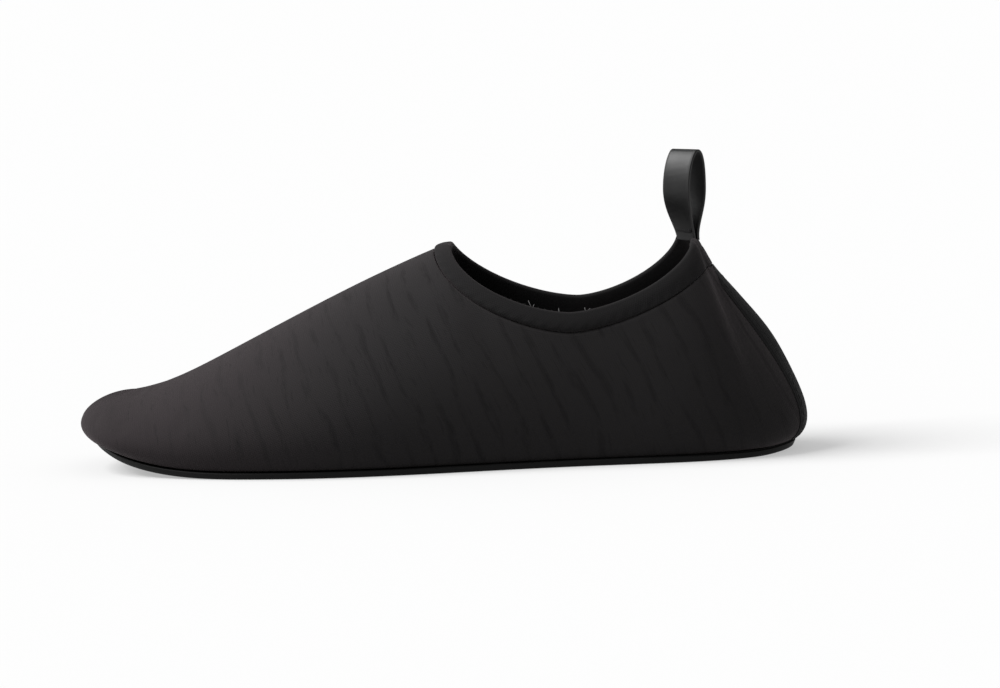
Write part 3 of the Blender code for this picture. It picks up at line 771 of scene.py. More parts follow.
class Board:
    """The nodes of one material."""

    def __init__(self, name):
        self.material = bpy.data.materials.new(name)
        self.material.use_nodes = True
        self.tree = self.material.node_tree
        self.tree.nodes.clear()

    def add(self, kind, settings=None, values=None, output=0):
        """Add a node with its settings and its sockets' values or links."""
        node = self.tree.nodes.new(kind)
        for key, value in (settings or {}).items():
            setattr(node, key, value)
        for key, value in (values or {}).items():
            if isinstance(value, Wire):
                self.tree.links.new(value.socket, node.inputs[key])
            else:
                node.inputs[key].default_value = value
        return Wire(self, node.outputs[output]) if node.outputs else node

    def flat(self):
        """Across and along values of the piece's flat lie, in metres."""
        lie = self.add("ShaderNodeUVMap", {"uv_map": "flat"})
        across = self.add("ShaderNodeSeparateXYZ", None, {0: lie}, "X")
        return across, Wire(self, across.socket.node.outputs["Y"])

    def place(self):
        """Object coordinates."""
        return self.add("ShaderNodeTexCoord", None, None, "Object")

    def joined(self, x, y, z=0.0):
        """Vector from three values."""
        return self.add("ShaderNodeCombineXYZ", None, {0: x, 1: y, 2: z})

    def noise(self, vector, scale, detail=2.0, roughness=0.5):
        """Soft noise from 0 to 1."""
        return self.add("ShaderNodeTexNoise", {"noise_dimensions": "3D"},
                        {"Vector": vector, "Scale": scale, "Detail": detail,
                         "Roughness": roughness}, "Fac")

    def step(self, value, low, high):
        """Soft step of a value between two limits."""
        return self.add("ShaderNodeMapRange", {"interpolation_type": "SMOOTHSTEP"},
                        {"Value": value, "From Min": low, "From Max": high,
                         "To Min": 0.0, "To Max": 1.0})

    def bump(self, height, distance, strength=1.0, normal=None):
        """Normal of a surface with the given relief."""
        values = {"Height": height, "Distance": distance, "Strength": strength}
        if normal is not None:
            values["Normal"] = normal
        return self.add("ShaderNodeBump", None, values)

    def finish(self, colour, roughness, normal, **constants):
        """Shader of the material."""
        node = self.tree.nodes.new("ShaderNodeBsdfPrincipled")
        for key, value in (("Base Color", colour), ("Roughness", roughness), ("Normal", normal)):
            if isinstance(value, Wire):
                self.tree.links.new(value.socket, node.inputs[key])
            elif value is not None:
                node.inputs[key].default_value = value
        for key, value in constants.items():
            node.inputs[key.replace("_", " ")].default_value = value
        output = self.tree.nodes.new("ShaderNodeOutputMaterial")
        self.tree.links.new(node.outputs["BSDF"], output.inputs["Surface"])
        return self.material


def mix_socket(board, share, first, second):
    """Mix node whose colour sockets are picked by place, as their names repeat."""
    node = board.tree.nodes.new("ShaderNodeMix")
    node.data_type = "RGBA"
    for index, value in ((0, share), (6, first), (7, second)):
        if isinstance(value, Wire):
            board.tree.links.new(value.socket, node.inputs[index])
        else:
            node.inputs[index].default_value = (*value, 1.0) if isinstance(value, tuple) else value
    return Wire(board, node.outputs[2])


def shade(board, colour, share):
    """Colour scaled by a factor."""
    node = board.tree.nodes.new("ShaderNodeVectorMath")
    node.operation = "SCALE"
    for key, value in ((0, colour), (3, share)):
        if isinstance(value, Wire):
            board.tree.links.new(value.socket, node.inputs[key])
        else:
            node.inputs[key].default_value = value
    return Wire(board, node.outputs[0])


def knit_material(sizes, colours, name, ground, stripes=1.0, sheen=0.13):
    """Stretch knit: fine columns of loops, broken tonal stripes, a soft nap, painted light at the toe
    and painted shade toward the heel.
    """
    board = Board(name)
    across, along = board.flat()
    length = board.add("ShaderNodeSeparateXYZ", None, {0: board.place()}, "X")
    behind_toe = board.step(length, -0.110, -0.005)
    # Painted shade: this share darkens the ground by up to a tenth toward the heel, which faces away
    # from the light
    heel_shade_share = board.step(length, 0.000, 0.080)
    # Painted light: the ground is mixed to a brighter, pinker colour at the toe, where the light falls
    # strongest
    painted_toe_light = (ground[0] * 1.30, ground[1] * 1.10, ground[2] * 1.16)
    pitch = sizes.loop_pitch
    column = across / pitch
    half = (column.math("FRACT") - 0.5).math("ABSOLUTE")
    row = along / (pitch * 0.8) + half * 1.4
    loops = ((row * (2 * math.pi)).math("SINE") * 0.5 + 0.5) * (1.0 - half * 1.6)
    drift = board.noise(board.joined(across * 60.0, along * 30.0), 1.0, 3.0)
    wave = (across / sizes.stripe_pitch + drift * 1.5) * (2 * math.pi)
    broad = board.step(wave.math("COSINE"), 0.20, 0.98) * (behind_toe * 0.8 + 0.2)
    broken = board.step(board.noise(board.joined(across * 220.0, along * 60.0), 1.0, 4.0, 0.6),
                        0.40, 0.62)
    fine = board.step((wave * 3.0).math("COSINE"), 0.45, 0.95)
    dashes = board.step(board.noise(board.joined(across * 300.0, along * 120.0, 4.0), 1.0, 3.0),
                        0.52, 0.66)
    mask = (broad * broken * 0.85 + fine * dashes * 0.45) * stripes
    cloudy = board.noise(board.place(), 34.0, 3.0)
    # Ground colour with the painted light at the toe and the painted shade toward the heel
    plain = shade(board, mix_socket(board, behind_toe, painted_toe_light, ground), 1.0 - heel_shade_share * 0.10)
    colour = mix_socket(board, mask, plain, tuple(colours.stripe))
    colour = shade(board, colour, cloudy * 0.34 + 0.83 + (loops - 0.4) * 0.22)
    nap = board.noise(board.joined(across * 2400.0, along * 2400.0), 1.0, 2.0)
    height = loops * 0.7 + nap * 0.5 - mask * 0.8
    normal = board.bump(height, pitch * 0.16, 0.8)
    roughness = cloudy * 0.08 + 0.84
    return board.finish(colour, roughness, normal, Sheen_Weight=sheen, Sheen_Roughness=0.45,
                        Sheen_Tint=(0.95, 0.80, 0.84, 1.0), Specular_IOR_Level=0.22)


def lining_material(sizes, colours):
    """Brushed back of the knit."""
    board = Board("brushed_lining")
    across, along = board.flat()
    fuzz = board.noise(board.joined(across * 1400.0, along * 1400.0), 1.0, 4.0, 0.7)
    tufts = board.noise(board.place(), 260.0, 3.0)
    colour = shade(board, tuple(colours.lining), fuzz * 0.9 + tufts * 0.5 + 0.3)
    normal = board.bump(fuzz + tufts * 0.6, sizes.loop_pitch * 0.5, 0.8)
    return board.finish(colour, 0.95, normal, Sheen_Weight=0.10, Sheen_Roughness=0.6,
                        Specular_IOR_Level=0.15)


def tape_material(colours):
    """Woven tape with fine ribs along it."""
    board = Board("woven_tape")
    across, along = board.flat()
    ribs = (across * (2 * math.pi / 0.0011)).math("SINE") * 0.5 + 0.5
    picks = (along * (2 * math.pi / 0.0006)).math("SINE") * 0.5 + 0.5
    cloudy = board.noise(board.place(), 120.0, 3.0)
    colour = shade(board, tuple(colours.tape), cloudy * 0.3 + ribs * 0.25 + 0.72)
    normal = board.bump(ribs * 0.8 + picks * 0.4, 0.00016, 0.8)
    return board.finish(colour, cloudy * 0.15 + 0.70, normal, Sheen_Weight=0.02,
                        Specular_IOR_Level=0.20)


def webbing_material(sizes, colours):
    """Satin webbing with fine cross ribs and a denser selvedge."""
    board = Board("satin_webbing")
    across, along = board.flat()
    ribs = (along * (2 * math.pi / 0.00042)).math("SINE") * 0.5 + 0.5
    warps = (across * (2 * math.pi / 0.0005)).math("SINE") * 0.5 + 0.5
    edge = board.step(across.math("ABSOLUTE"), sizes.loop_width * 0.40, sizes.loop_width * 0.44)
    cloudy = board.noise(board.place(), 160.0, 3.0)
    colour = shade(board, tuple(colours.webbing), cloudy * 0.35 + ribs * 0.2 + 0.75 - edge * 0.15)
    normal = board.bump(ribs * 0.5 + warps * 0.2 - edge * 0.4, 0.00004, 0.6)
    roughness = cloudy * 0.14 + 0.34 + edge * 0.12
    return board.finish(colour, roughness, normal, Specular_IOR_Level=0.42)


def rubber_material(colours):
    """Moulded rubber with a fine matt grain and light scuffs."""
    board = Board("moulded_rubber")
    place = board.place()
    grain = board.noise(place, 2600.0, 2.0)
    dust = board.step(board.noise(place, 55.0, 4.0, 0.6), 0.48, 0.74)
    scuffs = board.step(board.noise(board.add(
        "ShaderNodeMapping", None, {"Vector": place, "Scale": (40.0, 420.0, 120.0)}),
        1.0, 3.0), 0.64, 0.80)
    colour = mix_socket(board, dust * 0.25 + scuffs * 0.25, tuple(colours.rubber),
                        (0.018, 0.018, 0.018))
    normal = board.bump(grain + scuffs * 0.4, 0.00006, 0.6)
    return board.finish(colour, dust * 0.14 + grain * 0.10 + 0.55, normal,
                        Specular_IOR_Level=0.14)


def insole_material(colours):
    """Fine woven face of the foam insole."""
    board = Board("insole_cloth")
    across, along = board.flat()
    weave = ((across * (2 * math.pi / 0.0010)).math("SINE")
             * (along * (2 * math.pi / 0.0010)).math("SINE")) * 0.5 + 0.5
    cloudy = board.noise(board.place(), 60.0, 3.0)
    colour = shade(board, tuple(colours.insole), cloudy * 0.5 + weave * 0.3 + 0.55)
    normal = board.bump(weave, 0.00012, 0.8)
    return board.finish(colour, 0.92, normal, Sheen_Weight=0.08, Specular_IOR_Level=0.2)


def thread_material(name, ground):
    """Twisted sewing thread."""
    board = Board(name)
    twist = board.noise(board.place(), 1800.0, 2.0)
    colour = shade(board, ground, twist * 0.8 + 0.6)
    normal = board.bump(twist, 0.00005, 0.7)
    return board.finish(colour, 0.6, normal, Sheen_Weight=0.08, Specular_IOR_Level=0.4)


def settings_of(context):
    """Sizes, colours and the last that they make."""
    sizes = context.scene.water_shoe_sizes
    return sizes, context.scene.water_shoe_colours, Last(sizes)


def band_section(sizes):
    """Outline of the folded band: share of its width, offset outward and flat run."""
    proud, inner = 0.0007, 0.0017
    outline = [(0.00, -inner), (0.00, -0.0006), (0.02, 0.0000), (0.06, 0.00042), (0.13, 0.00070),
               (0.24, 0.00088), (0.40, 0.00094), (0.56, 0.00090), (0.70, 0.00078), (0.80, proud)]
    thickness = proud + inner
    fold = 0.5 * thickness / sizes.band_width
    for angle in range(75, -91, -15):
        turn = math.radians(angle)
        outline.append((1 - fold + fold * math.cos(turn),
                        (proud - inner) / 2 + thickness / 2 * math.sin(turn)))
    outline += [(0.72, -inner - 0.00010), (0.48, -inner - 0.00015), (0.24, -inner - 0.00010)]
    return outline


class SHOE_OT_upper(bpy.types.Operator):
    """Stretch the knit upper over the last"""

    bl_idname = "shoe.upper"
    bl_label = "Knit upper"

    def execute(self, context):
        sizes, colours, last = settings_of(context)
        spread = sizes.band_width + GAP
        spread_back = sizes.band_width_back + GAP
        places = even_places(last, spread, spread_back, UPPER_COLUMNS)
        tops = last.edge(places, spread, spread_back)
        share = np.linspace(0, 1, 61)
        lag = np.minimum(1 - tops, 0.35 * tops)
        rises = tops[:, None] * share + lag[:, None] * (share - share ** 3)
        points = last.on(places, rises)
        run = travel_along(points)
        from_top = run[:, -1:] - run
        cut = (tops < 1)[:, None]
        offsets = fold_heights(last, points)
        seam_dip, seam_run = 0.00055, 0.0012
        foot_dip, foot_run = 0.00030, 0.0010
        offsets -= seam_dip * step_fade(points) * cut * (1 - smooth_step(from_top / seam_run))
        offsets -= foot_dip * (1 - smooth_step(run / foot_run))
        points = points + last.normals(places, rises) * offsets[..., None]
        flat = grain_map(last, places, rises, points)
        upper = grid_piece("upper_knit", points, flat)
        face_outward(upper, np.array([0.0, 0.0, 0.02]))
        apply_modifier(upper, "SOLIDIFY", "wall", thickness=sizes.wall, offset=-1.0,
                       material_offset=1, material_offset_rim=1)
        smooth_faces(upper, 60.0)
        dress(upper, "upper", knit_material(sizes, colours, "stripe_knit", tuple(colours.knit)),
              lining_material(sizes, colours))
        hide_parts("upper")
        return {"FINISHED"}


class SHOE_OT_collar_band(bpy.types.Operator):
    """Fold the collar band round the mouth"""

    bl_idname = "shoe.collar_band"
    bl_label = "Collar band"

    def execute(self, context):
        sizes, colours, last = settings_of(context)
        outer, inner = rim_places(last, RIM_COLUMNS)
        rims = np.concatenate([outer, inner[::-1][1:]])
        seams = self.seam_places(last, sizes, outer, inner)
        rim_rise = last.edge(rims, 0.0, 0.0)
        seam_rise = last.edge(seams, sizes.band_width, sizes.band_width_back)
        section = band_section(sizes)
        share = np.array([row[0] for row in section])
        offset = np.array([row[1] for row in section])
        travel = travel_along(last.on(rims, rim_rise))
        pucker_height, pucker_pitch = 0.00010, 0.0042
        pucker = pucker_height * np.sin(travel * 2 * math.pi / pucker_pitch)[:, None]
        fade = (np.exp(-((share - 0.12) / 0.14) ** 2) * (offset > 0))[None, :]
        left = step_fade(last.on(rims, rim_rise))
        layers = []
        for index in range(len(section)):
            places = seams + (rims - seams) * share[index]
            rises = np.minimum(seam_rise + (rim_rise - seam_rise) * share[index], 0.999)
            kept = left + (1 - left) * smooth_step(share[index] / 0.7)
            lift = offset[index] * (kept if offset[index] > 0 else 1) + (pucker * fade)[:, index]
            layers.append(last.on(places, rises, lift))
        layers.append(layers[0])
        points = np.stack(layers, axis=1)
        bridge = np.linspace(0, 1, 13)[1:, None, None]
        points = np.concatenate([points, points[-1:] * (1 - bridge) + points[:1] * bridge])
        gap = np.linalg.norm(points[0] - points[len(rims) - 1], axis=-1).max()
        travel = np.concatenate([travel, travel[-1] + gap * bridge.ravel()])
        around = travel_along(points)
        flat = np.stack([np.broadcast_to(travel[:, None], around.shape), around], axis=-1)
        band = grid_piece("collar_band_knit", points, flat)
        smooth_faces(band, 70.0)
        dress(band, "collar_band",
              knit_material(sizes, colours, "band_knit", tuple(colours.band), 0.15, 0.07))
        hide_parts("collar_band")
        return {"FINISHED"}

    def seam_places(self, last, sizes, outer, inner):
        """Places on the band's lower edge, evenly spread as those on its rim."""
        start = last.first_cut(sizes.band_width, sizes.band_width_back)
        samples = start + (HEEL_PLACE - start) * np.linspace(0, 1, 401) ** 2
        halves = []
        for mirrored, rims in ((False, outer), (True, inner)):
            places = FULL_TURN - samples if mirrored else samples
            edge = last.edge(places, sizes.band_width, sizes.band_width_back)
            travel = travel_along(last.on(places, edge))
            marks = np.linspace(0, travel[-1], len(rims))
            half = np.interp(marks, travel, samples)
            halves.append(FULL_TURN - half if mirrored else half)
        return np.concatenate([halves[0], halves[1][::-1][1:]])


class SHOE_OT_collar_overlock(bpy.types.Operator):
    """Sew the overlocked seam inside the mouth"""

    bl_idname = "shoe.collar_overlock"
    bl_label = "Overlock seam"

    def execute(self, context):
        sizes, colours, last = settings_of(context)
        places = even_places(last, sizes.band_width, sizes.band_width_back, SEAM_COLUMNS)
        rises = last.edge(places, sizes.band_width, sizes.band_width_back)
        keep = rises < 0.9995
        places, rises = places[keep], rises[keep]
        line = last.on(places, rises, -sizes.wall - 0.0004)
        travel = travel_along(line)
        margin, pitch = 0.002, 0.0013
        steps = np.arange(margin, travel[-1] - margin, pitch)
        places = np.interp(steps, travel, places)
        rises = np.interp(steps, travel, rises)
        swing = np.where(np.arange(len(steps)) % 2 == 0, 0.004, -0.034)
        depth = np.where(np.arange(len(steps)) % 2 == 0, -0.0008, -0.0006)
        points = last.on(places, np.clip(rises + swing, 0, 0.999), -sizes.wall + depth)
        deselect_all()
        curve = bpy.data.curves.new("collar_overlock", "CURVE")
        curve.dimensions = "3D"
        curve.bevel_depth = 0.00022
        curve.bevel_resolution = 1
        curve.resolution_u = 3
        spline = curve.splines.new("BEZIER")
        spline.bezier_points.add(len(points) - 1)
        for knot, point in zip(spline.bezier_points, points):
            knot.co = point
            knot.handle_left_type = knot.handle_right_type = "AUTO"
        thread = bpy.data.objects.new("collar_overlock", curve)
        context.scene.collection.objects.link(thread)
        make_active(thread)
        bpy.ops.object.convert(target="MESH")
        thread = bpy.context.object
        bpy.ops.object.shade_smooth()
        dress(thread, "collar_band", thread_material("sewing_thread", tuple(colours.thread)))
        return {"FINISHED"}


class SHOE_OT_thread_ends(bpy.types.Operator):
    """Leave a few loose thread ends along the rim"""

    bl_idname = "shoe.thread_ends"
    bl_label = "Thread ends"

    def execute(self, context):
        sizes, colours, last = settings_of(context)
        outer = rim_places(last, RIM_COLUMNS)[0]
        rim = last.on(outer, last.edge(outer, 0.0, 0.0))
        order = np.argsort(rim[:, 0])
        inside_rim = (0.0, 0.0009, -0.0002)
        matrices = []
        for end in THREAD_ENDS:
            root = np.array([np.interp(end.station, rim[order, 0], rim[order, axis])
                             for axis in range(3)])
            root += inside_rim
            tip = root + (-end.forward, end.aside, end.rise)
            matrices.append(stitch_matrix(root, tip, np.array([0.0, -1.0, 0.0]), 0.00013))
        ends = copies_of(stitch_model(), matrices, "collar_thread_ends")
        smooth_faces(ends, 60.0)
        dress(ends, "collar_band", thread_material("loose_thread", tuple(colours.loose_thread)))
        return {"FINISHED"}


def tape_places(last, sides, rises):
    """Places near the heel back that stand the given distances aside at the rises."""
    signs = np.where(sides < 0, -1.0, 1.0)
    low, high = np.zeros_like(sides), np.full_like(sides, 2.5)
    for _ in range(30):
        middle = (low + high) / 2
        points = last.bezier(HEEL_PLACE + signs * middle, rises)
        near = np.abs(points[..., 1]) < np.abs(sides)
        low, high = np.where(near, middle, low), np.where(near, high, middle)
    return HEEL_PLACE + signs * (low + high) / 2


def tape_points(last, sizes, sides, share, offsets):
    """Points of the tape over the back seam at distances aside and shares of its height."""
    clearance = 0.0001
    places = np.full_like(sides, HEEL_PLACE)
    rises = share
    for _ in range(4):
        rises = share * last.edge(places, sizes.band_width + clearance,
                                  sizes.band_width_back + clearance)
        places = tape_places(last, sides, rises)
    return last.on(places, rises, offsets), places, rises


class SHOE_OT_heel_tape(bpy.types.Operator):
    """Lay the tape over the back seam and stitch it down"""

    bl_idname = "shoe.heel_tape"
    bl_label = "Heel tape"

    def execute(self, context):
        sizes, colours, last = settings_of(context)
        rows = np.linspace(TAPE_START, 1.0, 91)
        spots = np.linspace(-1, 1, 25)
        half = sizes.tape_width / 2
        crown = 0.00065 - 0.00045 * smooth_step((np.abs(spots) - 0.86) / 0.14)
        crown -= 0.00014 * np.exp(-((np.abs(spots) - TAPE_STITCH_SHARE) / 0.06) ** 2)
        tucked = 1 - 0.7 * smooth_step((rows - 0.84) / 0.14)
        fullness = 0.00130 * np.exp(-((rows - 0.66) / 0.16) ** 2) - 0.0002
        sides, shares = np.meshgrid(spots * half, rows)
        lift = crown[None, :] * tucked[:, None] + fullness[:, None] * (1 - spots ** 2)[None, :]
        raised = tape_points(last, sizes, sides.ravel(), shares.ravel(), lift.ravel())[0]
        lying = tape_points(last, sizes, -sides.ravel(), shares.ravel(),
                            np.full(sides.size, 0.00002))[0]
        points = np.concatenate([raised.reshape(*sides.shape, 3), lying.reshape(*sides.shape, 3)],
                                axis=1)
        points = np.concatenate([points, points[:, :1]], axis=1)
        around = travel_along(points)
        length = travel_along(points[:, 12])
        flat = np.stack([around, np.broadcast_to(length[:, None], around.shape)], axis=-1)
        tape = grid_piece("heel_tape", points, flat)
        mend_mesh(tape, fill=True)
        smooth_faces(tape, 50.0)
        dress(tape, "heel_seam", tape_material(colours))
        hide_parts("heel_seam")
        self.sew(context, sizes, colours, last, half)
        return {"FINISHED"}

    def sew(self, context, sizes, colours, last, half):
        """Two rows of stitches near the edges of the tape."""
        matrices = []
        height = 0.00066
        rows = np.linspace(0.06, 0.985, 200)
        for side in (-TAPE_STITCH_SHARE, TAPE_STITCH_SHARE):
            spots = np.full_like(rows, side * half)
            line, places, rises = tape_points(last, sizes, spots, rows,
                                              np.full_like(rows, height))
            normals = last.normals(places, rises)
            travel = travel_along(line)
            for start in np.arange(0.0008, travel[-1] - sizes.stitch_length, sizes.stitch_length):
                ends = [np.array([np.interp(at, travel, line[:, axis]) for axis in range(3)])
                        for at in (start, start + sizes.stitch_length * 0.72)]
                index = int(np.searchsorted(travel, start))
                matrices.append(stitch_matrix(ends[0], ends[1], normals[index]))
        stitches = copies_of(stitch_model(), matrices, "heel_tape_stitches")
        smooth_faces(stitches, 60.0)
        dress(stitches, "heel_seam", thread_material("sewing_thread", tuple(colours.thread)))


def stitch_model():
    """One stitch of thread, one unit long along X, sunk at both ends."""
    deselect_all()
    bpy.ops.mesh.primitive_cylinder_add(vertices=8, radius=0.5, depth=1.0,
                                        end_fill_type="NGON", rotation=(0, math.pi / 2, 0))
    stitch = bpy.context.object
    bpy.ops.object.transform_apply(location=True, rotation=True, scale=True)
    bpy.ops.object.mode_set(mode="EDIT")
    for cut in (-0.34, 0.0, 0.34):
        bpy.ops.mesh.select_all(action="SELECT")
        bpy.ops.mesh.bisect(plane_co=(cut, 0, 0), plane_no=(1, 0, 0))
    bpy.ops.object.mode_set(mode="OBJECT")
    for vertex in stitch.data.vertices:
        bow = 1 - (2 * vertex.co.x) ** 2
        vertex.co.y *= 0.45 + 0.55 * bow
        vertex.co.z = vertex.co.z * (0.45 + 0.55 * bow) + 0.35 * bow - 0.35
    return stitch


def stitch_matrix(start, end, normal, radius=0.00021):
    """Matrix that lays a stitch of unit length between two points."""
    run = Vector(end - start)
    ahead = run.normalized()
    up = Vector(normal)
    up = (up - ahead * up.dot(ahead)).normalized()
    aside = up.cross(ahead)
    turn = Matrix((ahead * run.length, aside * 2 * radius, up * 2 * radius)).transposed().to_4x4()
    turn.translation = Vector((start + end) / 2)
    return turn


def sheet_rings(last, sizes, count, insets, rings, play):
    """Plan points of a sheet, column by column: its edge rings, then rings to the spine."""
    places = FULL_TURN * np.arange(count + 1) / count
    foot, outward = last.foot(places)
    spine = last.ridge(places)
    centre = np.stack([np.clip(spine[:, 0], SPINE_FRONT * sizes.shoe_length,
                               SPINE_BACK * sizes.shoe_length), spine[:, 1], 0 * spine[:, 0]], axis=-1)
    inside = foot - outward * play
    lines = [foot - outward * inset for inset in insets]
    lines += [inside + (centre - inside) * ring / rings for ring in range(rings + 1)]
    return np.stack(lines, axis=1)


def sheet_points(last, plan, height):
    """Points of a sheet at a height above the underside."""
    low = last.underside(plan[..., 0], plan[..., 1])
    lifted = np.stack([plan[..., 0], plan[..., 1], low + height], axis=-1)
    return lifted + last.shift


class SHOE_OT_outsole(bpy.types.Operator):
    """Mould the rubber sole with its lip and tread"""

    bl_idname = "shoe.outsole"
    bl_label = "Rubber outsole"

    def execute(self, context):
        sizes, colours, last = settings_of(context)
        lip, thick = sizes.sole_lip, sizes.sole_thickness
        taper = 0.0012
        # Inset from the foot line and height above the underside, over the sole's edge
        edge = [(0.0002, thick), (-lip * 0.55, thick), (-lip * 0.85, thick - 0.00008),
                (-lip, thick - 0.00035), (-lip + taper * 0.30, thick * 0.55),
                (-lip + taper * 0.62, thick * 0.25), (-lip + taper * 0.86, thick * 0.08),
                (-lip + taper * 1.15, 0.0)]
        play, rings = 0.0025, 8
        inner = sheet_rings(last, sizes, SOLE_COLUMNS, [], rings, play)
        top = sheet_points(last, inner[:, ::-1], thick)
        bottom = sheet_points(last, inner, 0.0)
        rims = [sheet_points(last, sheet_rings(last, sizes, SOLE_COLUMNS, [inset], 1, play)[:, :1],
                             height) for inset, height in edge]
        points = np.concatenate([top, *rims, bottom], axis=1)
        flat = points[..., :2]
        sole = grid_piece("outsole_rubber", points, flat)
        mend_mesh(sole, SPINE_WELD, SPINE_SLIVER)
        self.cut_tread(last, sizes, sole)
        smooth_faces(sole, 35.0)
        dress(sole, "outsole", rubber_material(colours))
        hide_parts("outsole")
        return {"FINISHED"}

    def cut_tread(self, last, sizes, sole):
        """Cross grooves, with two fine sipes in each lug between them."""
        cutters = []
        for start, end in GROOVE_RUNS:
            count = int((end - start) * sizes.shoe_length / GROOVE_PITCH)
            for index in range(count + 1):
                x = start * sizes.shoe_length + index * GROOVE_PITCH
                cutters.append(self.bar(last, sizes, x, GROOVE_WIDTH, GROOVE_DEPTH, GROOVE_MARGIN))
                for share in SIPE_SHARES if index < count else ():
                    cutters.append(self.bar(last, sizes, x + GROOVE_PITCH * share,
                                            SIPE_WIDTH, SIPE_DEPTH, SIPE_MARGIN))
        deselect_all()
        for cutter in cutters:
            cutter.select_set(True)
        bpy.context.view_layer.objects.active = cutters[0]
        bpy.ops.object.join()
        apply_modifier(sole, "BOOLEAN", "grooves", operation="DIFFERENCE", solver="EXACT",
                       object=cutters[0])
        bpy.data.objects.remove(cutters[0], do_unlink=True)

    def bar(self, last, sizes, x, width, depth, margin):
        """Round-ended bar that cuts one groove across the tread."""
        reach = sizes.shoe_length * 0.01
        outline = last.foot(np.linspace(0, FULL_TURN, 361))[0]
        near = outline[np.abs(outline[:, 0] - x) < reach]
        low, high = near[:, 1].min() + margin, near[:, 1].max() - margin
        rise = float(last.underside(np.array(x + reach), np.array(0.0))
                     - last.underside(np.array(x - reach), np.array(0.0)))
        deselect_all()
        bpy.ops.mesh.primitive_cube_add(size=1.0)
        bar = bpy.context.object
        bar.scale = (width, high - low, 2 * depth)
        bpy.ops.object.transform_apply(location=True, rotation=True, scale=True)
        bpy.ops.object.mode_set(mode="EDIT")
        bpy.ops.mesh.select_mode(type="EDGE")
        bpy.ops.mesh.select_all(action="DESELECT")
        bpy.ops.object.mode_set(mode="OBJECT")
        for edge in bar.data.edges:
            ends = [bar.data.vertices[index].co.z for index in edge.vertices]
            edge.select = abs(ends[0] - ends[1]) > depth
        bpy.ops.object.mode_set(mode="EDIT")
        bpy.ops.mesh.bevel(offset=width * 0.45, segments=3, affect="EDGES")
        bpy.ops.object.mode_set(mode="OBJECT")
        centre = Vector((x + last.shift[0], (low + high) / 2 + last.shift[1],
                         float(last.underside(np.array(x), np.array(0.0)))))
        bar.data.transform(Matrix.Translation(centre)
                           @ Matrix.Rotation(-math.atan2(rise, 2 * reach), 4, "Y"))
        return bar


class SHOE_OT_insole(bpy.types.Operator):
    """Lay the foam insole inside"""

    bl_idname = "shoe.insole"
    bl_label = "Foam insole"

    def execute(self, context):
        sizes, colours, last = settings_of(context)
        low = sizes.sole_thickness + GAP
        high = low + sizes.insole_thickness
        play = sizes.wall + 0.0009
        rings = 10
        inner = sheet_rings(last, sizes, INSOLE_COLUMNS, [], rings, play + 0.0010)
        top = sheet_points(last, inner[:, ::-1], high)
        bottom = sheet_points(last, inner, low)
        edge = [(0.0004, high - 0.0001), (0.0, high - 0.0006), (0.0, low + 0.0005), (0.0004, low)]
        rims = [sheet_points(last, sheet_rings(last, sizes, INSOLE_COLUMNS, [play + inset], 1,
                                               play)[:, :1], height) for inset, height in edge]
        dish = 0.0006 * smooth_step(np.linspace(1, 0, rings + 1))
        top[..., 2] -= dish[None, :]
        points = np.concatenate([top, *rims, bottom], axis=1)
        insole = grid_piece("insole_foam", points, points[..., :2])
        mend_mesh(insole, SPINE_WELD, SPINE_SLIVER)
        smooth_faces(insole, 50.0)
        dress(insole, "insole", insole_material(colours))
        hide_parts("insole")
        return {"FINISHED"}


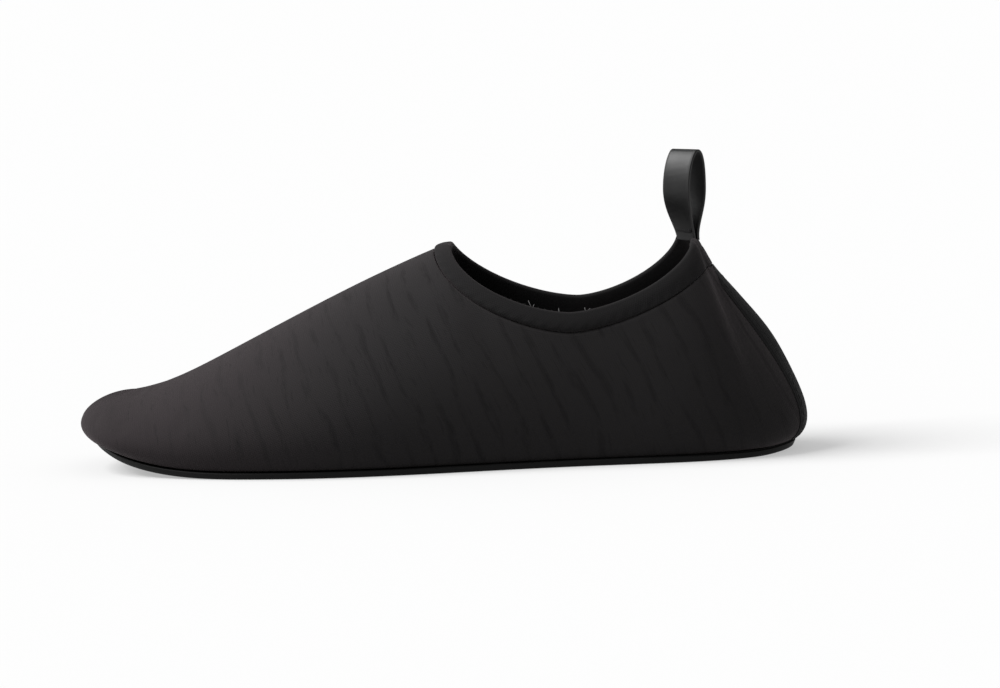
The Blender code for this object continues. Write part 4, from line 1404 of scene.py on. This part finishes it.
class SHOE_OT_pull_loop(bpy.types.Operator):
    """Fold the webbing loop and tack it to the band"""

    bl_idname = "shoe.pull_loop"
    bl_label = "Pull loop"

    def execute(self, context):
        sizes, colours, last = settings_of(context)
        base = self.seat(last)
        samples = np.linspace(0, 1, 161)
        middle = np.array([self.middle(sizes, share) for share in samples])
        step = 0.5 / (len(samples) - 1)
        after = np.array([self.middle(sizes, min(share + step, 1.0)) for share in samples])
        before = np.array([self.middle(sizes, max(share - step, 0.0)) for share in samples])
        ahead = unit(after - before)
        widening = smooth_step(2 * middle[:, 1] / sizes.loop_height)
        half = (LOOP_BASE_WIDTH + (sizes.loop_width - LOOP_BASE_WIDTH) * widening) / 2
        turn = np.radians(LOOP_BASE_TURN + (LOOP_TOP_TURN - LOOP_BASE_TURN) * widening)
        along = np.stack([np.cos(turn), np.sin(turn), 0 * turn], axis=-1)
        across = np.stack([-along[:, 1], along[:, 0], 0 * turn], axis=-1)
        up = np.array([0.0, 0.0, 1.0])
        travel = travel_along(middle)
        ring = [(spot, 1) for spot in (-1, -0.97, -0.8, -0.5, 0, 0.5, 0.8, 0.97, 1)]
        ring += [(spot, -1) for spot in (1, 0.97, 0.8, 0.5, 0, -0.5, -0.8, -0.97, -1)]
        layers, lies = [], []
        for spot, face in ring:
            thin = LOOP_THICKNESS / 2 * (0.55 if abs(spot) == 1 else 1.0)
            aside = middle[:, 0] - ahead[:, 1] * face * thin
            height = middle[:, 1] + ahead[:, 0] * face * thin
            layers.append(base + along * (half * spot)[:, None]
                          + across * aside[:, None] + up * height[:, None])
            lies.append(np.stack([half * spot, travel], axis=-1))
        layers.append(layers[0])
        lies.append(lies[0])
        loop = grid_piece("pull_loop_webbing", np.stack(layers, axis=1), np.stack(lies, axis=1))
        mend_mesh(loop, fill=True)
        smooth_faces(loop, 50.0)
        dress(loop, "pull_loop", webbing_material(sizes, colours))
        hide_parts("pull_loop")
        self.tack(sizes, colours, base, along[0], across[0], LOOP_BASE_WIDTH / 2)
        return {"FINISHED"}

    def tack(self, sizes, colours, base, along, across, half):
        """Zigzag tack over the foot of both legs of the loop."""
        low, high, proud = 0.0026, 0.0040, 0.00056
        matrices = []
        for side in (-1, 1):
            knots = []
            for index, spot in enumerate(np.linspace(-0.86, 0.86, 17)):
                height = low if index % 2 else high
                share = LOOP_LEG_SHARE * height / (sizes.loop_height - sizes.loop_crown)
                aside = self.middle(sizes, 1 - share if side > 0 else share)[0] + side * proud
                knots.append(base + along * half * spot + across * aside
                             + np.array([0.0, 0.0, height]))
            for start, end in zip(knots[:-1], knots[1:]):
                matrices.append(stitch_matrix(start, end, across * side, 0.00016))
        tack = copies_of(stitch_model(), matrices, "pull_loop_tack")
        smooth_faces(tack, 60.0)
        dress(tack, "pull_loop", thread_material("sewing_thread", tuple(colours.thread)))

    def seat(self, last):
        """Point on top of the band under the loop's base."""
        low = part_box("pull_loop")[0]
        place = np.array([HEEL_PLACE + LOOP_PLACE])
        rim = last.on(place, last.edge(place, 0.0, 0.0))[0]
        return np.array([rim[0] - LOOP_INSET, rim[1], low.z - LOOP_SUNK])

    def middle(self, sizes, share):
        """Middle of the webbing at a share of its length, sideways and up."""
        half_gap = (LOOP_BASE_GAP + LOOP_THICKNESS) / 2
        half_open = (sizes.loop_opening + LOOP_THICKNESS) / 2
        straight = sizes.loop_height + LOOP_SUNK - sizes.loop_crown - LOOP_THICKNESS / 2
        leg = min(share, 1 - share) / LOOP_LEG_SHARE
        if leg < 1:
            spread = half_gap + (half_open - half_gap) * float(smooth_step(leg))
            aside, height = spread if share > 0.5 else -spread, straight * leg
        else:
            angle = math.pi * (share - LOOP_LEG_SHARE) / (1 - 2 * LOOP_LEG_SHARE)
            aside = -half_open * math.cos(angle)
            height = straight + sizes.loop_crown * math.sin(angle)
        part = min(height / sizes.loop_height, 1.0)
        return np.array([aside - sizes.loop_bow * math.sin(math.pi * part), height])


class SHOE_OT_stage(bpy.types.Operator):
    """Set the floor, the light and the camera"""

    bl_idname = "shoe.stage"
    bl_label = "Stage"

    def execute(self, context):
        colours = context.scene.water_shoe_colours
        deselect_all()
        bpy.ops.mesh.primitive_plane_add(size=FLOOR_SIZE, location=(0, 0, 0))
        floor = bpy.context.object
        floor.name = "floor"
        floor.visible_diffuse = False
        board = Board("pale_floor")
        floor.data.materials.append(board.finish(
            (*colours.floor, 1.0), 0.8, None, Specular_IOR_Level=0.0,
            Emission_Color=(1.0, 1.0, 1.0, 1.0), Emission_Strength=FLOOR_GLOW))
        world = bpy.data.worlds.new("studio")
        world.use_nodes = True
        background = world.node_tree.nodes["Background"]
        background.inputs["Color"].default_value = (1, 1, 1, 1)
        background.inputs["Strength"].default_value = SKY_STRENGTH
        context.scene.world = world
        context.scene.view_settings.view_transform = "Standard"
        self.sun()
        self.camera(context)
        return {"FINISHED"}

    def sun(self):
        """Broad soft sun ahead of the toe and high above it."""
        deselect_all()
        bpy.ops.object.light_add(type="SUN", location=SUN_DIRECTION)
        lamp = bpy.context.object
        lamp.name = "key"
        lamp.data.angle = math.radians(SUN_BREADTH)
        lamp.data.energy = SUN_STRENGTH
        lamp.rotation_mode = "QUATERNION"
        lamp.rotation_quaternion = Vector(SUN_DIRECTION).to_track_quat("Z", "Y")

    def camera(self, context):
        """Long lens at the height and turn of the photograph's."""
        turn, tilt, roll = (math.radians(angle) for angle in (CAMERA_TURN, CAMERA_TILT, CAMERA_ROLL))
        right = Vector((math.cos(turn), math.sin(turn), 0))
        upward = Vector((-math.sin(turn) * math.sin(tilt), math.cos(turn) * math.sin(tilt),
                         math.cos(tilt)))
        back = right.cross(upward)
        level = right * math.cos(roll) - upward * math.sin(roll)
        upright = right * math.sin(roll) + upward * math.cos(roll)
        deselect_all()
        bpy.ops.object.camera_add()
        camera = bpy.context.object
        camera.data.sensor_width = SENSOR_WIDTH
        camera.data.lens = SENSOR_WIDTH * CAMERA_DISTANCE / VIEW_WIDTH
        camera.data.clip_end = 50.0
        turned = Matrix((level, upright, back)).transposed().to_4x4()
        turned.translation = Vector(VIEW_CENTRE) + back * CAMERA_DISTANCE
        camera.matrix_world = turned
        context.scene.camera = camera


class SHOE_PT_panel(bpy.types.Panel):
    """Lists the pieces of the shoe"""

    bl_idname = "SHOE_PT_panel"
    bl_label = "Water shoe"
    bl_space_type = "VIEW_3D"
    bl_region_type = "UI"
    bl_category = "Water shoe"

    def draw(self, context):
        for group in (context.scene.water_shoe_sizes, context.scene.water_shoe_colours):
            box = self.layout.box()
            for key in group.__annotations__:
                box.prop(group, key)
        for piece in PIECES:
            self.layout.operator(piece.bl_idname)


PIECES = (
    SHOE_OT_outsole,
    SHOE_OT_insole,
    SHOE_OT_upper,
    SHOE_OT_collar_band,
    SHOE_OT_collar_overlock,
    SHOE_OT_thread_ends,
    SHOE_OT_heel_tape,
    SHOE_OT_pull_loop,
    SHOE_OT_stage,
)


def register():
    """Register the classes and the sizes and colours."""
    for piece in (ShoeSizes, ShoeColours, *PIECES, SHOE_PT_panel):
        bpy.utils.register_class(piece)
    bpy.types.Scene.water_shoe_sizes = bpy.props.PointerProperty(type=ShoeSizes)
    bpy.types.Scene.water_shoe_colours = bpy.props.PointerProperty(type=ShoeColours)


def unregister():
    """Take the classes away again."""
    del bpy.types.Scene.water_shoe_sizes
    del bpy.types.Scene.water_shoe_colours
    for piece in (SHOE_PT_panel, *reversed(PIECES), ShoeColours, ShoeSizes):
        bpy.utils.unregister_class(piece)


def main():
    """Build every piece in order."""
    register()
    for piece in PIECES:
        group, name = piece.bl_idname.split(".")
        getattr(getattr(bpy.ops, group), name)()


if __name__ == "__main__":
    main()
